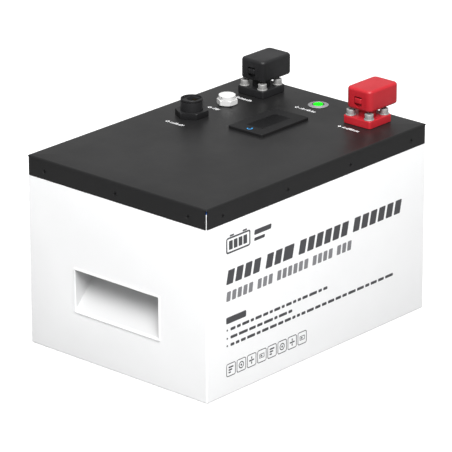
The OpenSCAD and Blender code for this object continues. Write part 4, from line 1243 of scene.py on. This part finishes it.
class BATTERY_OT_vent(bpy.types.Operator):
    """Builds the pressure valve: a hexagonal body and a slotted cap"""

    bl_idname = "battery.vent"
    bl_label = "Vent"

    def execute(self, context):
        size = context.scene.battery.fitting
        low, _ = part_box("vent_body")
        centre = axis_of("vent_body")
        flats = 18.2 * MM
        reach = flats / math.sqrt(3)
        hex_top = LID_TOP + 5.8 * MM
        foot = LID_TOP + 0.6 * MM
        chamfer = size.vent_chamfer
        neck = ((3.0 * MM, low.z), (5.8 * MM, low.z), (6.0 * MM, low.z + 0.4 * MM), (6.0 * MM, foot),
                (flats / 2 - 0.4 * MM, foot))
        loops = [circle(radius, z, centre, 72) for radius, z in neck]
        for k in range(5):
            loops.append(hexagon(flats, foot + 0.2 * MM + chamfer * 0.5 * k / 4, centre,
                                 reach - chamfer * (1 - k / 4), 72))
        for k in range(5):
            rise = hex_top - chamfer * 0.5 * (1 - k / 4)
            loops.append(hexagon(flats, rise, centre, reach - chamfer * k / 4, 72))
        loops.append(circle(flats / 2 - 0.6 * MM, hex_top, centre, 72))
        loops.append(circle(3.0 * MM, hex_top, centre, 72))
        body = skin("valve_body", loops, wrap=True)
        settle(body, "white_plastic", "battery", "vent_body")
        cap_low, cap_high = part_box("vent_cap")
        radius = 8.5 * MM
        cap = lathe("valve_cap", fillet([
            (0.0, cap_low.z + 1.2 * MM, 0.0), (5.2 * MM, cap_low.z + 1.2 * MM, 0.0),
            (5.2 * MM, cap_low.z, 0.0),
            (radius - 0.2 * MM, cap_low.z, 0.1 * MM), (radius, cap_low.z + 0.3 * MM, 0.1 * MM),
            (radius, cap_high.z, 0.9 * MM), (0.0, cap_high.z, 0.0),
        ], 5), centre, count=96)
        cutters = []
        for k in range(4):
            slot = box("slot", (4.4 * MM, -0.8 * MM, cap_low.z + 1.5 * MM),
                       (radius + MM, 0.8 * MM, cap_low.z + 3.3 * MM))
            turn = Matrix.Translation((centre[0], centre[1], 0.0)) @ Matrix.Rotation(math.pi / 2 * k, 4, "Z")
            cutters.append(place(slot, turn))
        carve(cap, cutters)
        settle(cap, "white_plastic", "battery", "vent_cap")
        return {"FINISHED"}


class BATTERY_OT_switch(bpy.types.Operator):
    """Builds the power switch: a metal bezel, its ring and the lit button"""

    bl_idname = "battery.switch"
    bl_label = "Switch"

    def execute(self, context):
        lamp = context.scene.battery.fitting.lamp / 2
        low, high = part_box("switch_barrel")
        centre = axis_of("switch_barrel")
        ring_low, ring_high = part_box("switch_surround")
        cap_low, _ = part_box("switch_cap")
        seat, top = LID_TOP + 0.3 * MM, high.z
        lip, crown = lamp + 0.05 * MM, top + 0.1 * MM
        bezel = lathe("switch_bezel", fillet([
            (0.0, low.z, 0.0), (7.6 * MM, low.z, 0.3 * MM), (8.0 * MM, low.z + 3 * MM, 0.0),
            (8.0 * MM, seat, 0.0),
            (10.35 * MM, seat, 0.1 * MM), (10.35 * MM, top - 0.9 * MM, 0.3 * MM), (6.9 * MM, top, 0.3 * MM),
            (6.2 * MM, top, 0.1 * MM), (6.2 * MM, top - 5 * MM, 0.0), (0.0, top - 5 * MM, 0.0),
        ], 4), centre, count=96)
        settle(bezel, "bare_aluminium", "battery", "switch_barrel", paint="switch_metal")
        ring = lathe("switch_inner_ring", fillet([
            (5.06 * MM, ring_low.z, 0.0), (6.15 * MM, ring_low.z, 0.0), (6.15 * MM, ring_high.z, 0.3 * MM),
            (lip, ring_high.z, 0.2 * MM), (lip, ring_high.z - MM, 0.0), (5.06 * MM, ring_high.z - MM, 0.0),
        ], 3, closed=True), centre, wrap=True, count=96)
        settle(ring, "black_plastic", "battery", "switch_surround")
        cap = lathe("switch_button", fillet([
            (0.0, cap_low.z, 0.0), (3.4 * MM, cap_low.z, 0.2 * MM), (3.4 * MM, cap_low.z + 3 * MM, 0.0),
            (lamp, cap_low.z + 3 * MM, 0.2 * MM), (lamp, crown, 0.3 * MM), (0.0, crown, 0.0),
        ], 5), centre, count=96)
        settle(cap, "green_lens", "power_button", "switch_cap")
        return {"FINISHED"}


class BATTERY_OT_print(bpy.types.Operator):
    """Prints the plain marks on the front wall and on the lid"""

    bl_idname = "battery.print"
    bl_label = "Print"

    def execute(self, context):
        size = context.scene.battery.ink
        self.front(context.scene.battery.case.paint, size)
        self.lid(size)
        return {"FINISHED"}

    def front(self, paint, size):
        face = CASE_LOW.y + paint

        def lay(u, v, height):
            return Vector((u, face - height, v))

        left = -133 * MM
        dark, soft = [], []
        bold, light = 9.4 * MM, 5.6 * MM
        # a plain battery outline with its charge in four steps
        x0, x1, z0, z1 = left, left + 34 * MM, 141.5 * MM, 157.5 * MM
        dark.append(outline((x0, z0), (x1, z1), 2.6 * MM, 1.7 * MM))
        for x in (x0 + 5 * MM, x1 - 11 * MM):
            dark.append(bar((x, z1 + 0.4 * MM), (x + 6 * MM, z1 + 2.2 * MM), 0.0, 0.6 * MM))
        for k in range(4):
            across = x0 + 4 * MM + k * 6.7 * MM
            dark.append(bar((across, z0 + 3.6 * MM), (across + 5.2 * MM, z1 - 3.6 * MM), 0.0, 0.6 * MM))
        dark.append(bar((x1 + 5 * MM, z0 + 8.2 * MM), (x1 + 29 * MM, z0 + 13.2 * MM), size.slant, 1.2 * MM))
        dark.append(bar((x1 + 5 * MM, z0 + 2.2 * MM), (x1 + 20 * MM, z0 + 5.4 * MM), size.slant, 0.9 * MM))
        dark += word_bars(
            left, 124 * MM, 111.2 * MM, 111.2 * MM + size.title, size.slant,
            [[bold] * 4, [bold, bold, 14 * MM], [bold] * 6, [bold] * 7], 3.0 * MM, 5.6 * MM)
        soft += word_bars(
            left, 49 * MM, 94.4 * MM, 94.4 * MM + size.second, size.slant * 0.6,
            [[light] * 5, [light] * 3, [light] * 6, [light] * 4], 2.2 * MM, 4.6 * MM)
        dark.append(bar((left, 72 * MM), (left + 28 * MM, 78.5 * MM), 0.0, 1.2 * MM))
        draw = random.Random(7)
        for z, end in ((65.7, 18), (57.5, -39), (50.0, 112)):
            foot, top = z * MM - size.small / 2, z * MM + size.small / 2
            dark.append(disc((left + 1.4 * MM, z * MM), 1.0 * MM))
            across = left + 6 * MM
            while across < end * MM - 4 * MM:
                width = min(draw.uniform(4.0, 13.0) * MM, end * MM - across)
                dark.append(bar((across, foot), (across + width, top), 0.0, 0.9 * MM))
                across += width + 2.1 * MM
        dark += self.icons(left, 18.5 * MM, 13.2 * MM)
        low, high = -0.4 * paint, paint
        settle(printed("front_print", dark, lay, low, high), "label_ink", "battery")
        faint = printed("front_print_soft", soft, lay, low, high)
        settle(faint, "label_ink", "battery", paint="soft_grey_ink")

    def icons(self, left, low, side):
        """A row of plain framed marks."""
        def span(u0, v0, u1, v1):
            return (mid[0] + u0 * MM, mid[1] + v0 * MM), (mid[0] + u1 * MM, mid[1] + v1 * MM)

        shapes = []
        pitch = 14.6 * MM
        for k in range(8):
            x = left + k * pitch
            mid = (x + side / 2, low + side / 2)
            shapes.append(outline((x, low), (x + side, low + side), 2.2 * MM, 0.85 * MM))
            if k % 4 == 0:
                for j in range(3):
                    shapes.append(bar((x + 3.2 * MM, low + (3.2 + 2.6 * j) * MM),
                                      (x + (6.4 + 1.8 * j) * MM, low + (4.7 + 2.6 * j) * MM), 0.0, 0.5 * MM))
            elif k % 4 == 1:
                shapes.append((disc(mid, 3.6 * MM), disc(mid, 2.6 * MM)))
                shapes.append(disc(mid, 1.1 * MM))
            elif k % 4 == 2:
                shapes.append(bar(*span(-3.6, -0.7, 3.6, 0.7)))
                shapes.append(bar(*span(-0.7, 1.2, 0.7, 3.8)))
                shapes.append(bar(*span(-0.7, -3.8, 0.7, -1.2)))
            else:
                shapes.append(outline(*span(-3.6, -2.2, 3.6, 2.2), 0.7 * MM, 0.7 * MM))
                shapes.append(bar(*span(-2.2, -0.8, 0.6, 0.8)))
        return shapes

    def lid(self, size):
        height = size.lid_mark
        draw = random.Random(3)
        shapes = []

        def row(x, start, end, symbol):
            """One row of marks that runs toward -Y, with its tops toward +X."""
            def turned(points):
                return [(x + v, start - u) for u, v in points]

            mid = (height / 2, height / 2)
            if symbol == "power":
                shapes.append(turned(arc_band(mid, 0.4 * height, 0.6 * MM, 120, 420)))
                shapes.append(turned(bar((mid[0] - 0.3 * MM, 0.5 * height), (mid[0] + 0.3 * MM, height))))
            if symbol in ("plus", "minus"):
                shapes.append(turned(bar((0.0, mid[1] - 0.5 * MM), (height, mid[1] + 0.5 * MM))))
            if symbol == "plus":
                for v0, v1 in ((mid[1] + 0.5 * MM, height), (0.0, mid[1] - 0.5 * MM)):
                    shapes.append(turned(bar((mid[0] - 0.5 * MM, v0), (mid[0] + 0.5 * MM, v1))))
            if symbol == "ring":
                shapes.append((turned(disc(mid, 0.48 * height)), turned(disc(mid, 0.3 * height))))
            across = height + 2.0 * MM
            span = start - end
            while across < span - 0.8 * MM:
                rise = draw.choice((0.72, 0.72, 1.0)) * height
                shapes.append(turned(bar((across, 0.0), (across + 0.8 * MM, rise), 0.25, 0.2 * MM)))
                across += draw.choice((1.7, 1.9, 2.3)) * MM

        row(112 * MM, 14 * MM, -12.6 * MM, "power")
        row(96 * MM, -54 * MM, -80 * MM, "plus")
        row(96 * MM, 84 * MM, 57 * MM, "minus")
        row(-3 * MM, 81 * MM, 59 * MM, "ring")
        row(55 * MM, 78 * MM, 63 * MM, "ring")
        def lay(u, v, rise):
            return Vector((u, v, LID_TOP + rise))

        settle(printed("lid_print", shapes, lay, -0.02 * MM, 0.05 * MM), "lid_ink", "battery")


class BATTERY_OT_inside(bpy.types.Operator):
    """Gives every frame node that still shows its own finish"""

    bl_idname = "battery.inside"
    bl_label = "Inside parts"

    def execute(self, context):
        slots = {row["node"]: row["material_slot"] for row in frame["record"]["subparts"]}
        for name, thing in frame["nodes"].items():
            if thing.hide_render:
                continue
            thing.data.materials.clear()
            thing.data.materials.append(finish(slots[name]))
            shade(thing, 30)
        return {"FINISHED"}


class BATTERY_OT_stage(bpy.types.Operator):
    """Lays the floor and sets the camera and the soft lights"""

    bl_idname = "battery.stage"
    bl_label = "Stage"

    def execute(self, context):
        stage = context.scene.battery.stage
        self.floor(stage)
        self.camera(context, stage)
        self.lights(context, stage)
        return {"FINISHED"}

    def floor(self, stage):
        ground = skin("floor", [rectangle(6.0, 6.0, 0.0, z, steps=1) for z in (-0.01, -0.0003)])
        made = bpy.data.materials.new("floor_paint")
        made.use_nodes = True
        shader = made.node_tree.nodes["Principled BSDF"]
        shader.inputs["Base Color"].default_value = (0.28, 0.28, 0.28, 1.0)
        shader.inputs["Roughness"].default_value = 0.9
        shader.inputs["Specular IOR Level"].default_value = 0.0
        shader.inputs["Emission Color"].default_value = (1.0, 1.0, 1.0, 1.0)
        seen = made.node_tree.nodes.new("ShaderNodeLightPath").outputs["Is Camera Ray"]
        glow = maths(made.node_tree, "MULTIPLY", seen, stage.floor_glow)
        made.node_tree.links.new(glow, shader.inputs["Emission Strength"])
        ground.data.materials.append(made)

    def camera(self, context, stage):
        data = bpy.data.cameras.new("camera")
        data.lens = stage.lens
        data.sensor_width = 36.0
        data.clip_end = 50.0
        camera = linked("camera", data)
        camera.matrix_world = (
            Matrix.Translation(Vector(stage.spot))
            @ Matrix.Rotation(stage.turn, 4, "Z")
            @ Matrix.Rotation(math.pi / 2 - stage.rise, 4, "X")
            @ Matrix.Rotation(stage.roll, 4, "Z")
        )
        context.scene.camera = camera

    def lights(self, context, stage):
        world = context.scene.world or bpy.data.worlds.new("world")
        context.scene.world = world
        world.use_nodes = True
        sky = world.node_tree.nodes["Background"]
        sky.inputs["Color"].default_value = (1.0, 1.0, 1.0, 1.0)
        sky.inputs["Strength"].default_value = stage.world
        for name, spot, power, side in (
            ("key_light", (-1.5, -1.58, 2.6), stage.key_power, 1.9),
            ("top_light", (0.0, -0.1, 3.0), stage.top_power, 2.6),
        ):
            data = bpy.data.lights.new(name, "AREA")
            data.shape = "SQUARE"
            data.size = side
            data.energy = power
            lamp = linked(name, data)
            turn = (LIGHT_TARGET - Vector(spot)).to_track_quat("-Z", "Y").to_matrix().to_4x4()
            lamp.matrix_world = Matrix.Translation(Vector(spot)) @ turn
        context.scene.view_settings.view_transform = "Standard"


class BATTERY_PT_panel(bpy.types.Panel):
    """Lists the battery's pieces in the sidebar"""

    bl_idname = "BATTERY_PT_panel"
    bl_label = "Battery"
    bl_space_type = "VIEW_3D"
    bl_region_type = "UI"
    bl_category = "Battery"

    def draw(self, context):
        for operator in OPERATORS:
            self.layout.operator(operator.bl_idname)
        for group in ("case", "lid", "terminal", "fitting", "ink", "colour", "stage"):
            settings = getattr(context.scene.battery, group)
            column = self.layout.column(heading=group.capitalize())
            for key in settings.bl_rna.properties.keys():
                if key not in ("rna_type", "name"):
                    column.prop(settings, key)


OPERATORS = (
    BATTERY_OT_case,
    BATTERY_OT_lid,
    BATTERY_OT_terminals,
    BATTERY_OT_plugs,
    BATTERY_OT_display,
    BATTERY_OT_port,
    BATTERY_OT_vent,
    BATTERY_OT_switch,
    BATTERY_OT_print,
    BATTERY_OT_inside,
    BATTERY_OT_stage,
)
CLASSES = (
    CaseSizes, LidSizes, TerminalSizes, FittingSizes, PrintSizes, FinishColours, StageSettings,
    BatterySettings, *OPERATORS, BATTERY_PT_panel,
)


def register():
    for made in CLASSES:
        bpy.utils.register_class(made)
    bpy.types.Scene.battery = PointerProperty(
        type=BatterySettings, name="Battery", description="Sizes and colours of the battery"
    )


def unregister():
    del bpy.types.Scene.battery
    for made in reversed(CLASSES):
        bpy.utils.unregister_class(made)


def main():
    register()
    for operator in OPERATORS:
        group, name = operator.bl_idname.split(".")
        getattr(getattr(bpy.ops, group), name)()
    bpy.context.view_layer.update()


if __name__ == "__main__":
    main()
